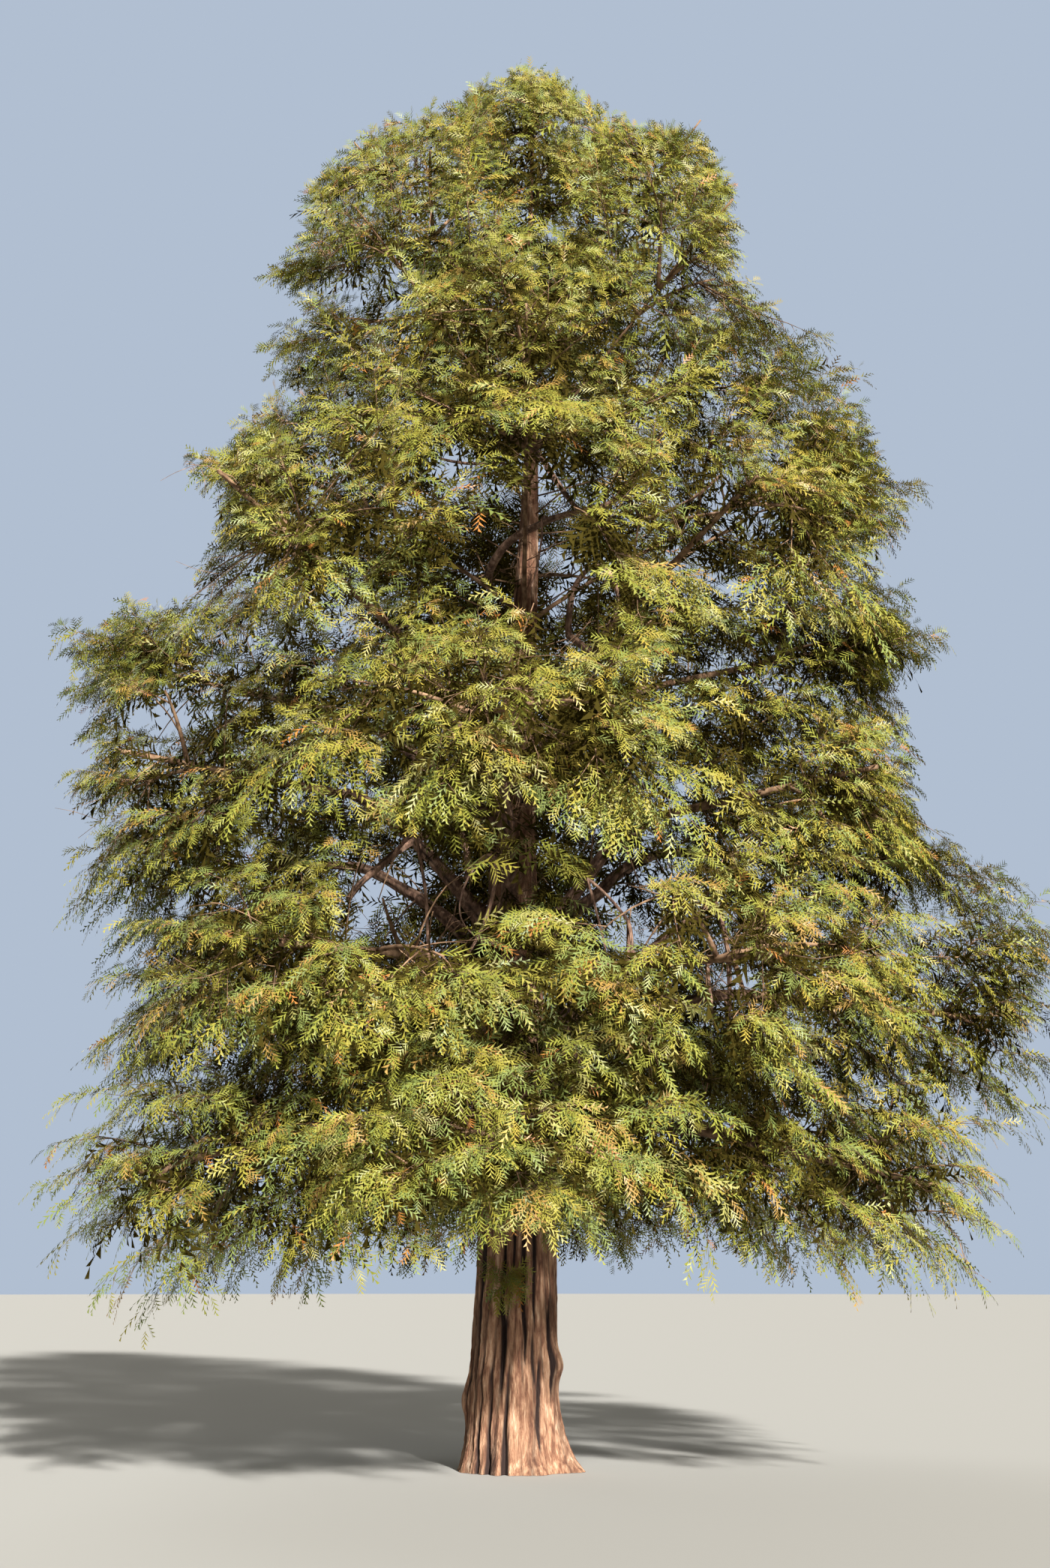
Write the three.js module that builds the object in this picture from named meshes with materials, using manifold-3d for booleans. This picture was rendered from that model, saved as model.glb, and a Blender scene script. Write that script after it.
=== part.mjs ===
// A mature yew tree, rooted in level ground: one fluted trunk that runs up through the crown, main boughs
// round it in tiers, and a mass of needle sprays at the end of each bough. Millimetres, +Z up, and the
// origin at ground level in the middle of the trunk's flat cut. The tree is seen from -Y.
import * as THREE from "three";
import { mergeVertices } from "three/addons/utils/BufferGeometryUtils.js";
import Module from "manifold-3d";

const wasm = await Module();
wasm.setup();

// Whole tree
const HEIGHT = 14000; // ground to the highest tip
const HANGS_TO = 1300; // lowest tip of the skirt
const GAP = 0.3; // clearance between two solids that meet

// Trunk
const WOOD_TOP = 12900; // where the leader's wood ends
const TRUNK_RADIUS = 380; // of the wood at the ground, without flutes and roots
const TAPER = { starts: 1.5, ends: 2.4 }; // powers: slow near the ground, fast in the crown
const TIP_RADIUS = 14;
const LEAN = 230; // how far the top stands to +X of the foot
const SWAY = 45; // how far the wood winds to either side
const SWAY_FROM = 1500; // height over which the winding sets in
const SWAY_X = 1150; // height of one radian of the winding along X
const SWAY_Y = 1600; // and along Y
const FLUTES = 7;
const FLUTE_DEPTH = 26;
const FLUTES_END = 5200; // height where the flutes have run out
const FLUTE_TWIST = 900; // height over which a flute wanders by one radian of its wave
const FLARE = 55; // extra radius at the ground all round
const FLARE_HEIGHT = 260;
const ROOTS = [
  // direction in degrees from +X, how far each toe runs out, its half angle
  { turn: -14, toe: 190, spread: 20 },
  { turn: -62, toe: 70, spread: 16 },
  { turn: -108, toe: 60, spread: 18 },
  { turn: -160, toe: 55, spread: 18 },
  { turn: 35, toe: 90, spread: 18 },
  { turn: 96, toe: 80, spread: 20 },
  { turn: 150, toe: 70, spread: 18 },
];
const BURRS = [
  // direction, height, bulge, half angle and half height of each burr on the trunk
  { turn: -22, height: 860, bulge: 62, spread: 15, tall: 120 },
  { turn: 178, height: 560, bulge: 60, spread: 17, tall: 170 },
  { turn: -128, height: 760, bulge: 34, spread: 13, tall: 130 },
];
const TRUNK_SIDES = 28;
const TRUNK_RINGS = 17;
const RING_CROWDING = 1.7; // power that sets more rings near the ground
const STUB = { turn: -84, height: 9420, radius: 46, length: 120 }; // a sawn limb, high on the trunk

// Crown: tiers of masses, from the skirt up. height is that of a mass's middle and reach that of its
// tips, from the trunk, with aside more to +X and less to -X. turn is where the first mass stands,
// degrees from +X. depth, thick: half sizes outwards and upwards. tilt: how far the mass points up.
// drop: how far below the mass its bough leaves the trunk. girth: the bough's radius where it does.
const TIERS = [
  {
    name: "skirt", height: 2560, reach: 4250, aside: 100, count: 6, turn: 30,
    depth: 1400, thick: 900, tilt: -14, drop: 150, girth: 74,
  },
  {
    name: "low", height: 4020, reach: 4350, aside: 450, count: 6, turn: 0,
    depth: 1450, thick: 880, tilt: -6, drop: 800, girth: 82,
  },
  {
    name: "waist", height: 5700, reach: 4400, aside: -100, count: 6, turn: 30,
    depth: 1400, thick: 930, tilt: 4, drop: 1150, girth: 76,
  },
  {
    name: "shoulder", height: 7480, reach: 4380, aside: -290, count: 5, turn: 18,
    depth: 1450, thick: 980, tilt: 18, drop: 1350, girth: 62,
  },
  {
    name: "high", height: 9150, reach: 3500, aside: 80, count: 4, turn: 0,
    depth: 1400, thick: 1000, tilt: 24, drop: 900, girth: 40,
  },
  {
    name: "upper", height: 10700, reach: 2900, aside: 50, count: 4, turn: 45,
    depth: 1300, thick: 980, tilt: 32, drop: 800, girth: 32,
  },
  {
    name: "crest", height: 12000, reach: 2300, aside: 0, count: 3, turn: 90,
    depth: 1150, thick: 950, tilt: 44, drop: 700, girth: 26,
  },
];
const BOUGH_TIERS = 4; // the higher masses grow straight from the trunk
const LEADER = { height: 12950, reach: 1050, thick: 1150 };
const UNEVEN = { turn: 5, reach: 0.035, height: 150 }; // how far masses stray from their tier's rule
const OVERLAP = 1.06; // how much wider a mass is than its share of the way round
const STACKED = 1.45; // how much more height than width counts when masses share out the space
const MARGIN = 12; // that a mass keeps to the edge of its share
const CLEARANCE = 30; // that growth keeps to the limbs

// Boughs and stems
const ENTRY = -0.9; // where a bough ends in its mass, as a share of the way out from its middle
const BOUGH_THINS = 0.42; // share of its radius that a bough loses on the way
const COLLAR = { swell: 0.5, reach: 250, fade: 130 }; // where a bough leaves the trunk
const STEM_END = 0.55; // where the stem of a mass ends, as a share of the way out to its tip
const STEM_THINS = 0.5;
const LEADER_STEM = 20; // radius

// Growth
const TWIGS = 4; // that leave the stem towards the skin, evenly on all sides
const TWIG_RADIUS = 25;
const TWIG_REACH = 0.55; // share of the way to the skin
const SHORTEST_TWIG = 200;
const SPRAYS = 10; // that each mass sends to its skin
const SPRAY_SHAPE = 0.72; // width for length
const SPRAY_THICK = 50;
const SPRAY_SIZES = [1, 0.9, 0.8, 0.7, 0.6]; // tried in turn, until a spray has room
const SHORTEST_SPRAY = 420;
const FACES_TRUNK = -0.75; // how far back a direction may point, as a share of the way to the trunk
const GOLDEN = Math.PI * (3 - Math.sqrt(5));

const UP = new THREE.Vector3(0, 0, 1);
const radians = THREE.MathUtils.degToRad;

// A number from -1 to 1 that is the same each time for the same two keys.
function chance(a, b) {
  const s = Math.sin(a * 12.9898 + b * 78.233 + 4.1) * 43758.5453;
  return 2 * (s - Math.floor(s)) - 1;
}

function compass(degrees) {
  return new THREE.Vector3(Math.cos(radians(degrees)), Math.sin(radians(degrees)), 0);
}

// Height of a bell of unit height at offset x, where it is x half widths from its middle.
function bell(x) {
  return Math.exp(-x * x);
}

function degreesApart(a, b) {
  return Math.abs(((a - b + 540) % 360) - 180);
}

// Trunk

function trunkAxis(z) {
  const rise = z / WOOD_TOP;
  const sway = SWAY * (1 - Math.exp(-z / SWAY_FROM));
  const x = LEAN * rise * rise + sway * Math.sin(z / SWAY_X);
  return new THREE.Vector3(x, sway * Math.sin(z / SWAY_Y + 1), z);
}

function trunkRadius(z, degrees) {
  const wood = TRUNK_RADIUS * (1 - (z / HEIGHT) ** TAPER.starts) ** TAPER.ends + TIP_RADIUS;
  const fade = Math.max(0, 1 - z / FLUTES_END);
  const turn = radians(degrees);
  const wave = turn * FLUTES + Math.sin(z / FLUTE_TWIST) + 1.7 * Math.sin(turn * 2);
  const flutes = -FLUTE_DEPTH * fade * (0.5 + 0.5 * Math.cos(wave));
  const low = Math.exp(-z / FLARE_HEIGHT);
  const flare = FLARE * low;
  const roots = ROOTS.map((r) => r.toe * low * bell(degreesApart(degrees, r.turn) / r.spread));
  const burrs = BURRS.map(
    (b) => b.bulge * bell(degreesApart(degrees, b.turn) / b.spread) * bell((z - b.height) / b.tall),
  );
  return wood + flutes + flare + [...roots, ...burrs].reduce((a, b) => a + b, 0);
}

// The trunk's skin, moved out by grow: used again, a hair larger, to cut what meets it.
function trunkGeometry(grow) {
  const made = new THREE.CylinderGeometry(1, 1, 1, TRUNK_SIDES, TRUNK_RINGS);
  const at = made.getAttribute("position");
  for (let i = 0; i < at.count; i++) {
    const share = at.getY(i) + 0.5;
    const z = WOOD_TOP * share ** RING_CROWDING;
    const hub = Math.hypot(at.getX(i), at.getZ(i)) < 0.5;
    const angle = Math.atan2(at.getX(i), at.getZ(i));
    const radius = hub ? 0 : trunkRadius(z, THREE.MathUtils.radToDeg(angle)) + grow;
    const axis = trunkAxis(z);
    const ends = share < 0.001 ? -grow : share > 0.999 ? grow : 0;
    at.setXYZ(i, axis.x + radius * Math.cos(angle), axis.y + radius * Math.sin(angle), z + ends);
  }
  return made;
}

// Solids

function solid(geometry) {
  const bare = geometry.clone();
  bare.deleteAttribute("normal");
  bare.deleteAttribute("uv");
  const merged = mergeVertices(bare, 1e-3);
  return new wasm.Manifold(
    new wasm.Mesh({
      numProp: 3,
      vertProperties: new Float32Array(merged.attributes.position.array),
      triVerts: new Uint32Array(merged.index.array),
    }),
  );
}

function geometryOf(made) {
  const mesh = made.getMesh();
  const geometry = new THREE.BufferGeometry();
  geometry.setAttribute("position", new THREE.BufferAttribute(new Float32Array(mesh.vertProperties), 3));
  geometry.setIndex(new THREE.BufferAttribute(new Uint32Array(mesh.triVerts), 1));
  geometry.computeVertexNormals();
  return geometry;
}

// The largest closed body of a solid: loose scraps go, and a hollow that joining has sealed is filled.
function mainBody(made) {
  return made.decompose().reduce((a, b) => (a.volume() > b.volume() ? a : b));
}

// A round limb along a curve, closed at its root and, unless it runs out to a point, at its tip.
// radiusAt takes the share of the way along.
function limbGeometry(curve, radiusAt, sides, rings) {
  const made = new THREE.CylinderGeometry(radiusAt(1) ? 1 : 0, 1, 1, sides, rings);
  const frames = curve.computeFrenetFrames(rings, false);
  const at = made.getAttribute("position");
  for (let i = 0; i < at.count; i++) {
    const share = at.getY(i) + 0.5;
    const ring = Math.round(share * rings);
    const point = curve.getPointAt(share);
    const spoke = Math.hypot(at.getX(i), at.getZ(i));
    const radius = spoke > 0.01 ? radiusAt(share) / spoke : 0;
    point.addScaledVector(frames.normals[ring], at.getX(i) * radius);
    point.addScaledVector(frames.binormals[ring], -at.getZ(i) * radius);
    at.setXYZ(i, point.x, point.y, point.z);
  }
  return made;
}

// A spray of needles: a thin blade, thickest in the middle, with two swept teeth on each side.
const HALF_OUTLINE = [
  [0.45, 0.5],
  [0.46, 0.2],
  [0.79, 0.4],
  [0.74, 0.14],
]; // shares of the length and of the width, from the root to the tip
const SPRAY_OUTLINE = [
  [0, 0],
  ...HALF_OUTLINE,
  [1, 0],
  ...HALF_OUTLINE.map(([far, wide]) => [far, -wide]).reverse(),
];
const THICKEST = 0.36; // share of the length

function sprayGeometry({ root, along, over, length, width }) {
  const count = SPRAY_OUTLINE.length;
  const made = new THREE.SphereGeometry(1, count, 2);
  const side = new THREE.Vector3().crossVectors(along, over);
  const at = made.getAttribute("position");
  for (let i = 0; i < at.count; i++) {
    const pole = Math.round(at.getY(i));
    const [far, wide] = pole ? [THICKEST, 0] : SPRAY_OUTLINE[(i % (count + 1)) % count];
    const point = root.clone();
    point.addScaledVector(along, far * length);
    point.addScaledVector(side, wide * width);
    point.addScaledVector(over, (pole * SPRAY_THICK) / 2);
    at.setXYZ(i, point.x, point.y, point.z);
  }
  return made;
}

// Where the masses are

function massOf(tier, index, key) {
  const turn = tier.turn + (360 / tier.count) * index + UNEVEN.turn * chance(key, 1);
  const level = tier.reach + tier.aside * Math.cos(radians(turn));
  const reach = level * (1 + UNEVEN.reach * chance(key, 2));
  const height = tier.height + UNEVEN.height * chance(key, 3);
  const out = compass(turn);
  const tilt = radians(tier.tilt);
  const u = out.clone().multiplyScalar(Math.cos(tilt)).addScaledVector(UP, Math.sin(tilt));
  const v = new THREE.Vector3().crossVectors(UP, out);
  const w = new THREE.Vector3().crossVectors(u, v);
  const middle = reach - tier.depth * Math.cos(tilt);
  const half = [tier.depth, ((Math.PI * middle) / tier.count) * OVERLAP, tier.thick];
  const centre = trunkAxis(height).addScaledVector(out, middle);
  return { name: `foliage_${tier.name}_${index + 1}`, tier, key, turn, out, u, v, w, half, centre };
}

function leaderMass(key) {
  const u = UP.clone();
  const v = new THREE.Vector3(0, 1, 0);
  const w = new THREE.Vector3().crossVectors(u, v);
  const half = [LEADER.thick, LEADER.reach, LEADER.reach];
  const centre = trunkAxis(LEADER.height);
  return { name: "foliage_leader", tier: null, key, turn: 0, out: u, u, v, w, half, centre };
}

const masses = [];
for (const tier of TIERS)
  for (let index = 0; index < tier.count; index++) masses.push(massOf(tier, index, masses.length + 1));
masses.push(leaderMass(masses.length + 1));

// The point of a mass at shares x, y, z of its half sizes.
function pointIn(mass, x, y, z) {
  return mass.centre
    .clone()
    .addScaledVector(mass.u, x * mass.half[0])
    .addScaledVector(mass.v, y * mass.half[1])
    .addScaledVector(mass.w, z * mass.half[2]);
}

function shareOut(mass, point) {
  const from = point.clone().sub(mass.centre);
  return Math.hypot(
    from.dot(mass.u) / mass.half[0],
    from.dot(mass.v) / mass.half[1],
    from.dot(mass.w) / mass.half[2],
  );
}

function stacked(a, b) {
  return Math.hypot(a.x - b.x, a.y - b.y, (a.z - b.z) * STACKED);
}

// How far a point lies inside a mass's own share of the space, where planes part it from its neighbours.
function ownRoom(mass, point) {
  const own = stacked(point, mass.centre) ** 2;
  const rooms = masses
    .filter((m) => m !== mass)
    .map((m) => (stacked(point, m.centre) ** 2 - own) / (2 * stacked(m.centre, mass.centre)));
  return Math.min(...rooms);
}

// Boughs and stems

// A limb rises from the trunk and bends over into the line of its mass.
for (const mass of masses.slice(0, -1)) {
  const { tier } = mass;
  const bough = TIERS.indexOf(tier) < BOUGH_TIERS;
  const root = pointIn(mass, ENTRY, 0, 0);
  const foot = root.z - tier.drop;
  const start = trunkAxis(foot).addScaledVector(mass.out, trunkRadius(foot, mass.turn) * 0.6);
  const run = Math.hypot(root.x - start.x, root.y - start.y);
  const rising = mass.out.clone().addScaledVector(UP, tier.drop / run + 0.2).normalize();
  const path = new THREE.CubicBezierCurve3(
    start,
    start.clone().addScaledVector(rising, run * 0.4),
    root.clone().addScaledVector(mass.u, -run * 0.35),
    root,
  );
  Object.assign(mass, { root, bough, path });
}

function boughRadius(tier, length, share) {
  const along = Math.max(0, share * length - COLLAR.reach);
  return tier.girth * (1 - BOUGH_THINS * share + COLLAR.swell * Math.exp(-along / COLLAR.fade));
}

// The stem that carries a mass, on from its bough's tip, out of the trunk or up from the trunk's tip.
// bare is the share of it that bears nothing.
function stemOf(mass) {
  const end = pointIn(mass, STEM_END, 0, 0);
  if (!mass.tier)
    return { path: new THREE.LineCurve3(trunkAxis(WOOD_TOP - 60), end), bare: 0.2, radius: LEADER_STEM };
  const radius = mass.tier.girth * (1 - BOUGH_THINS);
  if (mass.bough) {
    const start = mass.root.clone().addScaledVector(mass.u, GAP);
    return { path: new THREE.QuadraticBezierCurve3(start, mass.centre, end), bare: 0.2, radius };
  }
  const { v0, v1 } = mass.path;
  return { path: new THREE.CubicBezierCurve3(v0, v1, pointIn(mass, -0.3, 0, 0), end), bare: 0.55, radius };
}

// What growth keeps clear of: points down the middle of each limb, with the limb's radius there.
const limbPoints = [];
for (let z = 0; z <= WOOD_TOP; z += 60)
  limbPoints.push({ point: trunkAxis(z), radius: trunkRadius(z, 0) + FLUTE_DEPTH });
for (const mass of masses.filter((m) => m.bough))
  for (let share = 0; share < 0.999; share += 0.03)
    limbPoints.push({ point: mass.path.getPointAt(share), radius: mass.tier.girth });

function clearOfLimbs(point) {
  return limbPoints.every((l) => l.point.distanceTo(point) > l.radius + CLEARANCE);
}

// Whether every corner keeps to the mass's skin, to its share of the space and off the limbs.
function fits(mass, geometry, skin) {
  const at = geometry.getAttribute("position");
  const point = new THREE.Vector3();
  for (let i = 0; i < at.count; i++) {
    point.fromBufferAttribute(at, i);
    if (point.z < HANGS_TO || point.z > HEIGHT) return false;
    if (shareOut(mass, point) > skin || ownRoom(mass, point) < MARGIN || !clearOfLimbs(point)) return false;
  }
  return true;
}

// Growth inside a mass

// Even directions all round, as shares of a mass's half sizes, less those that face the trunk.
function directions(count, turn) {
  const found = [];
  for (let i = 0; i < count; i++) {
    const z = 1 - (2 * i + 1) / count;
    const angle = i * GOLDEN + turn;
    const flat = Math.sqrt(1 - z * z);
    const x = flat * Math.cos(angle);
    if (x > FACES_TRUNK) found.push([x, flat * Math.sin(angle), z]);
  }
  return found;
}

// The point at a share of the way from a mass's middle to where its space ends.
function towardsSkin(mass, [x, y, z], part) {
  let share = 1;
  for (; share > 0.1; share *= 0.95) {
    const point = pointIn(mass, x * share, y * share, z * share);
    if (ownRoom(mass, point) > MARGIN && point.z > HANGS_TO && point.z <= HEIGHT) break;
  }
  return pointIn(mass, x * share * part, y * share * part, z * share * part);
}

// A twig or a spray leaves older wood a little behind the place nearest to the point it grows to.
function budNear(woods, goal) {
  let best = { distance: Infinity };
  for (const { path, bare } of woods)
    for (let share = bare; share <= 1; share += 0.1) {
      const distance = path.getPointAt(share).distanceTo(goal);
      if (distance < best.distance) best = { distance, path, share: Math.max(bare, share - 0.2) };
    }
  return best.path.getPointAt(best.share);
}

// Sprays lie like tiles on a roof: each faces up and outwards.
function sprayTowards(bud, tip, size) {
  const along = tip.clone().sub(bud);
  const length = along.length() * size;
  along.normalize();
  const middle = trunkAxis(Math.min(tip.z, WOOD_TOP));
  const over = new THREE.Vector3(tip.x - middle.x, tip.y - middle.y, 0).normalize().add(UP);
  over.addScaledVector(along, -over.dot(along)).normalize();
  return { root: bud, along, over, length, width: SPRAY_SHAPE * length };
}

// The largest size of a spray that keeps to its mass and touches none of its other sprays, if any does.
function fittedSpray(mass, bud, tip, others) {
  for (const size of SPRAY_SIZES) {
    const spray = sprayTowards(bud, tip, size);
    if (spray.length < SHORTEST_SPRAY) return null;
    const geometry = sprayGeometry(spray);
    if (!fits(mass, geometry, 1.05)) continue;
    const made = solid(geometry);
    if (others.every((other) => other.intersect(made).isEmpty())) return made;
  }
  return null;
}

function massSolid(mass, cutters) {
  const stem = stemOf(mass);
  let wood = solid(limbGeometry(stem.path, (share) => stem.radius * (1 - STEM_THINS * share), 3, 3));
  const woods = [stem];
  for (const way of directions(TWIGS, mass.key * 2)) {
    const goal = towardsSkin(mass, way, TWIG_REACH);
    const path = new THREE.LineCurve3(budNear([stem], goal), goal);
    const geometry = limbGeometry(path, (share) => TWIG_RADIUS * (1 - share), 3, 1);
    if (path.getLength() < SHORTEST_TWIG || !fits(mass, geometry, 1)) continue;
    wood = wood.add(solid(geometry));
    woods.push({ path, bare: 0.3 });
  }
  const sprays = [];
  for (const way of directions(SPRAYS, mass.key)) {
    const tip = towardsSkin(mass, way, 1);
    const spray = fittedSpray(mass, budNear(woods, tip), tip, sprays);
    if (spray) sprays.push(spray);
  }
  let made = wasm.Manifold.union([wood, ...sprays]);
  for (const cutter of cutters) made = made.subtract(cutter);
  return mainBody(made);
}

// The tree

const bark = new THREE.MeshStandardMaterial({ color: 0x8a6650, roughness: 0.9, metalness: 0 });
const limbBark = new THREE.MeshStandardMaterial({ color: 0x6d5040, roughness: 0.9, metalness: 0 });
const needles = new THREE.MeshStandardMaterial({ color: 0x5c6a2c, roughness: 0.7, metalness: 0 });

const tree = new THREE.Group();

function addNode(name, made, material) {
  const mesh = new THREE.Mesh(geometryOf(made), material);
  mesh.name = name;
  tree.add(mesh);
}

function trunkSolid(grow) {
  const out = compass(STUB.turn).addScaledVector(UP, 0.5).normalize();
  const start = trunkAxis(STUB.height);
  const end = start.clone().addScaledVector(out, trunkRadius(STUB.height, 0) + STUB.length + grow);
  const stub = limbGeometry(new THREE.LineCurve3(start, end), () => STUB.radius + grow, 8, 1);
  return solid(trunkGeometry(grow)).add(solid(stub));
}

const trunkCutter = trunkSolid(GAP);
addNode("trunk", trunkSolid(0), bark);

for (const mass of masses)
  if (mass.bough) {
    const length = mass.path.getLength();
    const wood = limbGeometry(mass.path, (share) => boughRadius(mass.tier, length, share), 6, 4);
    addNode(mass.name.replace("foliage", "bough"), mainBody(solid(wood).subtract(trunkCutter)), limbBark);
  }

for (const mass of masses) {
  const cutters = mass.bough ? [] : [trunkCutter];
  addNode(mass.name, massSolid(mass, cutters), needles);
}

export default tree;
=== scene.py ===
# A mature yew tree. The fixed frame holds its trunk, its boughs and its masses of foliage as plain solids;
# this scene gives the wood its bark and grows every mass out into boughs, twigs and needles, by the same
# rule that set out the solids. Metres, +Z up, ground level at zero, seen from -Y.
import math
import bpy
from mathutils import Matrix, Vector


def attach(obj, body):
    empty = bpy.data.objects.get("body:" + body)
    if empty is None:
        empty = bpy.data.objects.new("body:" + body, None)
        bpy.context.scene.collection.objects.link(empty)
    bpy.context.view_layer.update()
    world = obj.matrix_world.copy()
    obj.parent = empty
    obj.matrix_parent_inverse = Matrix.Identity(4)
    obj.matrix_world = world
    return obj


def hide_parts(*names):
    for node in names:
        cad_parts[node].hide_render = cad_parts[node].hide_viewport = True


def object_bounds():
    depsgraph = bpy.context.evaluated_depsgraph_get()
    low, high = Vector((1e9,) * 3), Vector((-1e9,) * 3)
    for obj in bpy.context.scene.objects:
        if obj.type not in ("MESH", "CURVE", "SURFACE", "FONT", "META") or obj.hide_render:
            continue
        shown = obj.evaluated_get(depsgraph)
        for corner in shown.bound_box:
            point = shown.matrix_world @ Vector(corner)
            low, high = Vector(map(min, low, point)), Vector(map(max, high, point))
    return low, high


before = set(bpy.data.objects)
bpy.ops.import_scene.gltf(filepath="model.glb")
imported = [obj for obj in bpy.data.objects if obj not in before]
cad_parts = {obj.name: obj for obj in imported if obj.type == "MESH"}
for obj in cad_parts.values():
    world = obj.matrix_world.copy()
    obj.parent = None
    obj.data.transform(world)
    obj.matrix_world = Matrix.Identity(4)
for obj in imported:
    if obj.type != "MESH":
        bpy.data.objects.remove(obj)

from types import SimpleNamespace

import bmesh
import bpy
import numpy as np

cad_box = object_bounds()

# Trunk: one stem of yew wood that runs up through the whole crown. It has grown in ropes with deep furrows
# between them, it spreads into toes at the ground, and its red-brown bark peels off in long strips. It is
# drawn from one tall cylinder, on the same axis and radius as the solid trunk.
TAU = 2 * math.pi
HEIGHT = 14.0
WOOD_TOP = 12.9
TRUNK_WOOD = 0.38
TAPER = SimpleNamespace(starts=1.5, ends=2.4)
TIP_RADIUS = 0.014
LEAN = 0.23
SWAY = SimpleNamespace(size=0.045, sets_in=1.5, along_x=1.15, along_y=1.6)
FLUTES = SimpleNamespace(count=7, depth=0.026, end=5.2, twist=0.9, uneven=1.7)
FLARE = SimpleNamespace(out=0.055, height=0.26)
ROOTS = [
    # direction in degrees, how far the toe stands out, and half its width in degrees
    (-14, 0.19, 20),
    (-62, 0.07, 16),
    (-108, 0.06, 18),
    (-160, 0.055, 18),
    (35, 0.09, 18),
    (96, 0.08, 20),
    (150, 0.07, 18),
]
BURRS = [
    # direction in degrees, height, bulge, half width in degrees and half height
    (-22, 0.86, 0.062, 15, 0.12),
    (178, 0.56, 0.06, 17, 0.17),
    (-128, 0.76, 0.034, 13, 0.13),
]
TRUNK_SIDES = 320
TRUNK_SPLITS = (6, 39)
RINGS_CROWD_DOWN = 1.7
WANDER = [
    # how far the ropes of wood swing aside, waves round the trunk, waves up it, and where they start
    (1.9, 2, 0.9, 0.0),
    (1.1, 3, -1.7, 1.0),
]
ROPES = SimpleNamespace(count=10, at_ground=0.042, in_crown=0.007, fades=4.5, edge=0.55, uneven=1.6)
ROPES_SHOW = SimpleNamespace(usual=0.7, varies=0.5)
STRANDS = SimpleNamespace(count=27, depth=0.015, in_crown=0.35, edge=0.7, swing=2.2, uneven=1.5)
STRANDS_SHOW = SimpleNamespace(usual=0.62, varies=0.85, least=0.05, most=1.2)
FIBRES = SimpleNamespace(count=74, depth=0.0055, in_crown=0.5, swing=5, uneven=2.5)
PITS = 0.005
# how much painted shade the grooves of ropes, strands and fibres and the furrows put into the bark's colour
BARK_PAINTED_SHADE = SimpleNamespace(ropes=0.55, strands=0.45, fibres=0.20, furrows=1.1)
FULL_RELIEF_FROM = 0.12
STANDS_OUT = 0.35
FURROW = SimpleNamespace(wander=3.5, narrowest=0.35, fade=0.6, off_ground=0.15)
FURROWS = [
    # direction in degrees, lowest and highest point, depth, half width in degrees
    (-97, 0.05, 1.05, 0.070, 3.8),
    (-121, 0.00, 0.95, 0.055, 3.2),
    (-136, 0.00, 0.95, 0.045, 2.8),
    (-107, 0.60, 1.95, 0.055, 3.2),
    (-77, 0.85, 2.20, 0.050, 3.0),
    (-32, 0.50, 1.45, 0.050, 3.0),
    (-54, 0.16, 0.95, 0.035, 2.6),
    (-148, 0.75, 2.30, 0.055, 3.4),
    (-62, 1.10, 2.40, 0.030, 2.4),
    (62, 0.05, 0.90, 0.050, 3.2),
    (128, 0.20, 1.30, 0.050, 3.0),
    (-170, 0.40, 1.60, 0.045, 3.0),
]


def bell(x):
    return np.exp(-x * x)


def smooth(x):
    x = np.clip(x, 0, 1)
    return x * x * (3 - 2 * x)


def degrees_apart(a, b):
    return np.abs((a - b + 540) % 360 - 180)


def trunk_axis(z):
    z = np.asarray(z, float)
    sway = SWAY.size * (1 - np.exp(-z / SWAY.sets_in))
    x = LEAN * (z / WOOD_TOP) ** 2 + sway * np.sin(z / SWAY.along_x)
    return np.stack([x, sway * np.sin(z / SWAY.along_y + 1), z], axis=-1)


def trunk_radius(z, degrees):
    wood = TRUNK_WOOD * (1 - (z / HEIGHT) ** TAPER.starts) ** TAPER.ends + TIP_RADIUS
    turn = np.radians(degrees)
    wave = turn * FLUTES.count + np.sin(z / FLUTES.twist) + FLUTES.uneven * np.sin(turn * 2)
    flutes = FLUTES.depth * np.maximum(0, 1 - z / FLUTES.end) * (0.5 + 0.5 * np.cos(wave))
    low = np.exp(-z / FLARE.height)
    radius = wood - flutes + FLARE.out * low
    for direction, toe, spread in ROOTS:
        radius = radius + toe * low * bell(degrees_apart(degrees, direction) / spread)
    for direction, height, bulge, spread, tall in BURRS:
        beside = degrees_apart(degrees, direction) / spread
        radius = radius + bulge * bell(beside) * bell((z - height) / tall)
    return radius


def grain(turn, height, around, tall, key):
    """Smooth chance from -1 to 1 on bark, in cells: so many around the limb, and so tall."""
    table = np.random.default_rng(key).uniform(-1, 1, (512, around))
    across = turn / TAU % 1 * around
    up = height / tall
    column = np.floor(across).astype(int)
    row = np.floor(up).astype(int)
    part_across = smooth(across - column)
    part_up = smooth(up - row)
    corners = [table[(row + i) % 512, (column + j) % around] for i in (0, 1) for j in (0, 1)]
    low = corners[0] * (1 - part_across) + corners[1] * part_across
    high = corners[2] * (1 - part_across) + corners[3] * part_across
    return low * (1 - part_up) + high * part_up


def ridges(phase, edge=1):
    """Rounded ridges of bark: 1 on the crown of each, and 0 in the groove beside it."""
    return np.abs(np.sin(phase / 2)) ** edge


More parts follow.
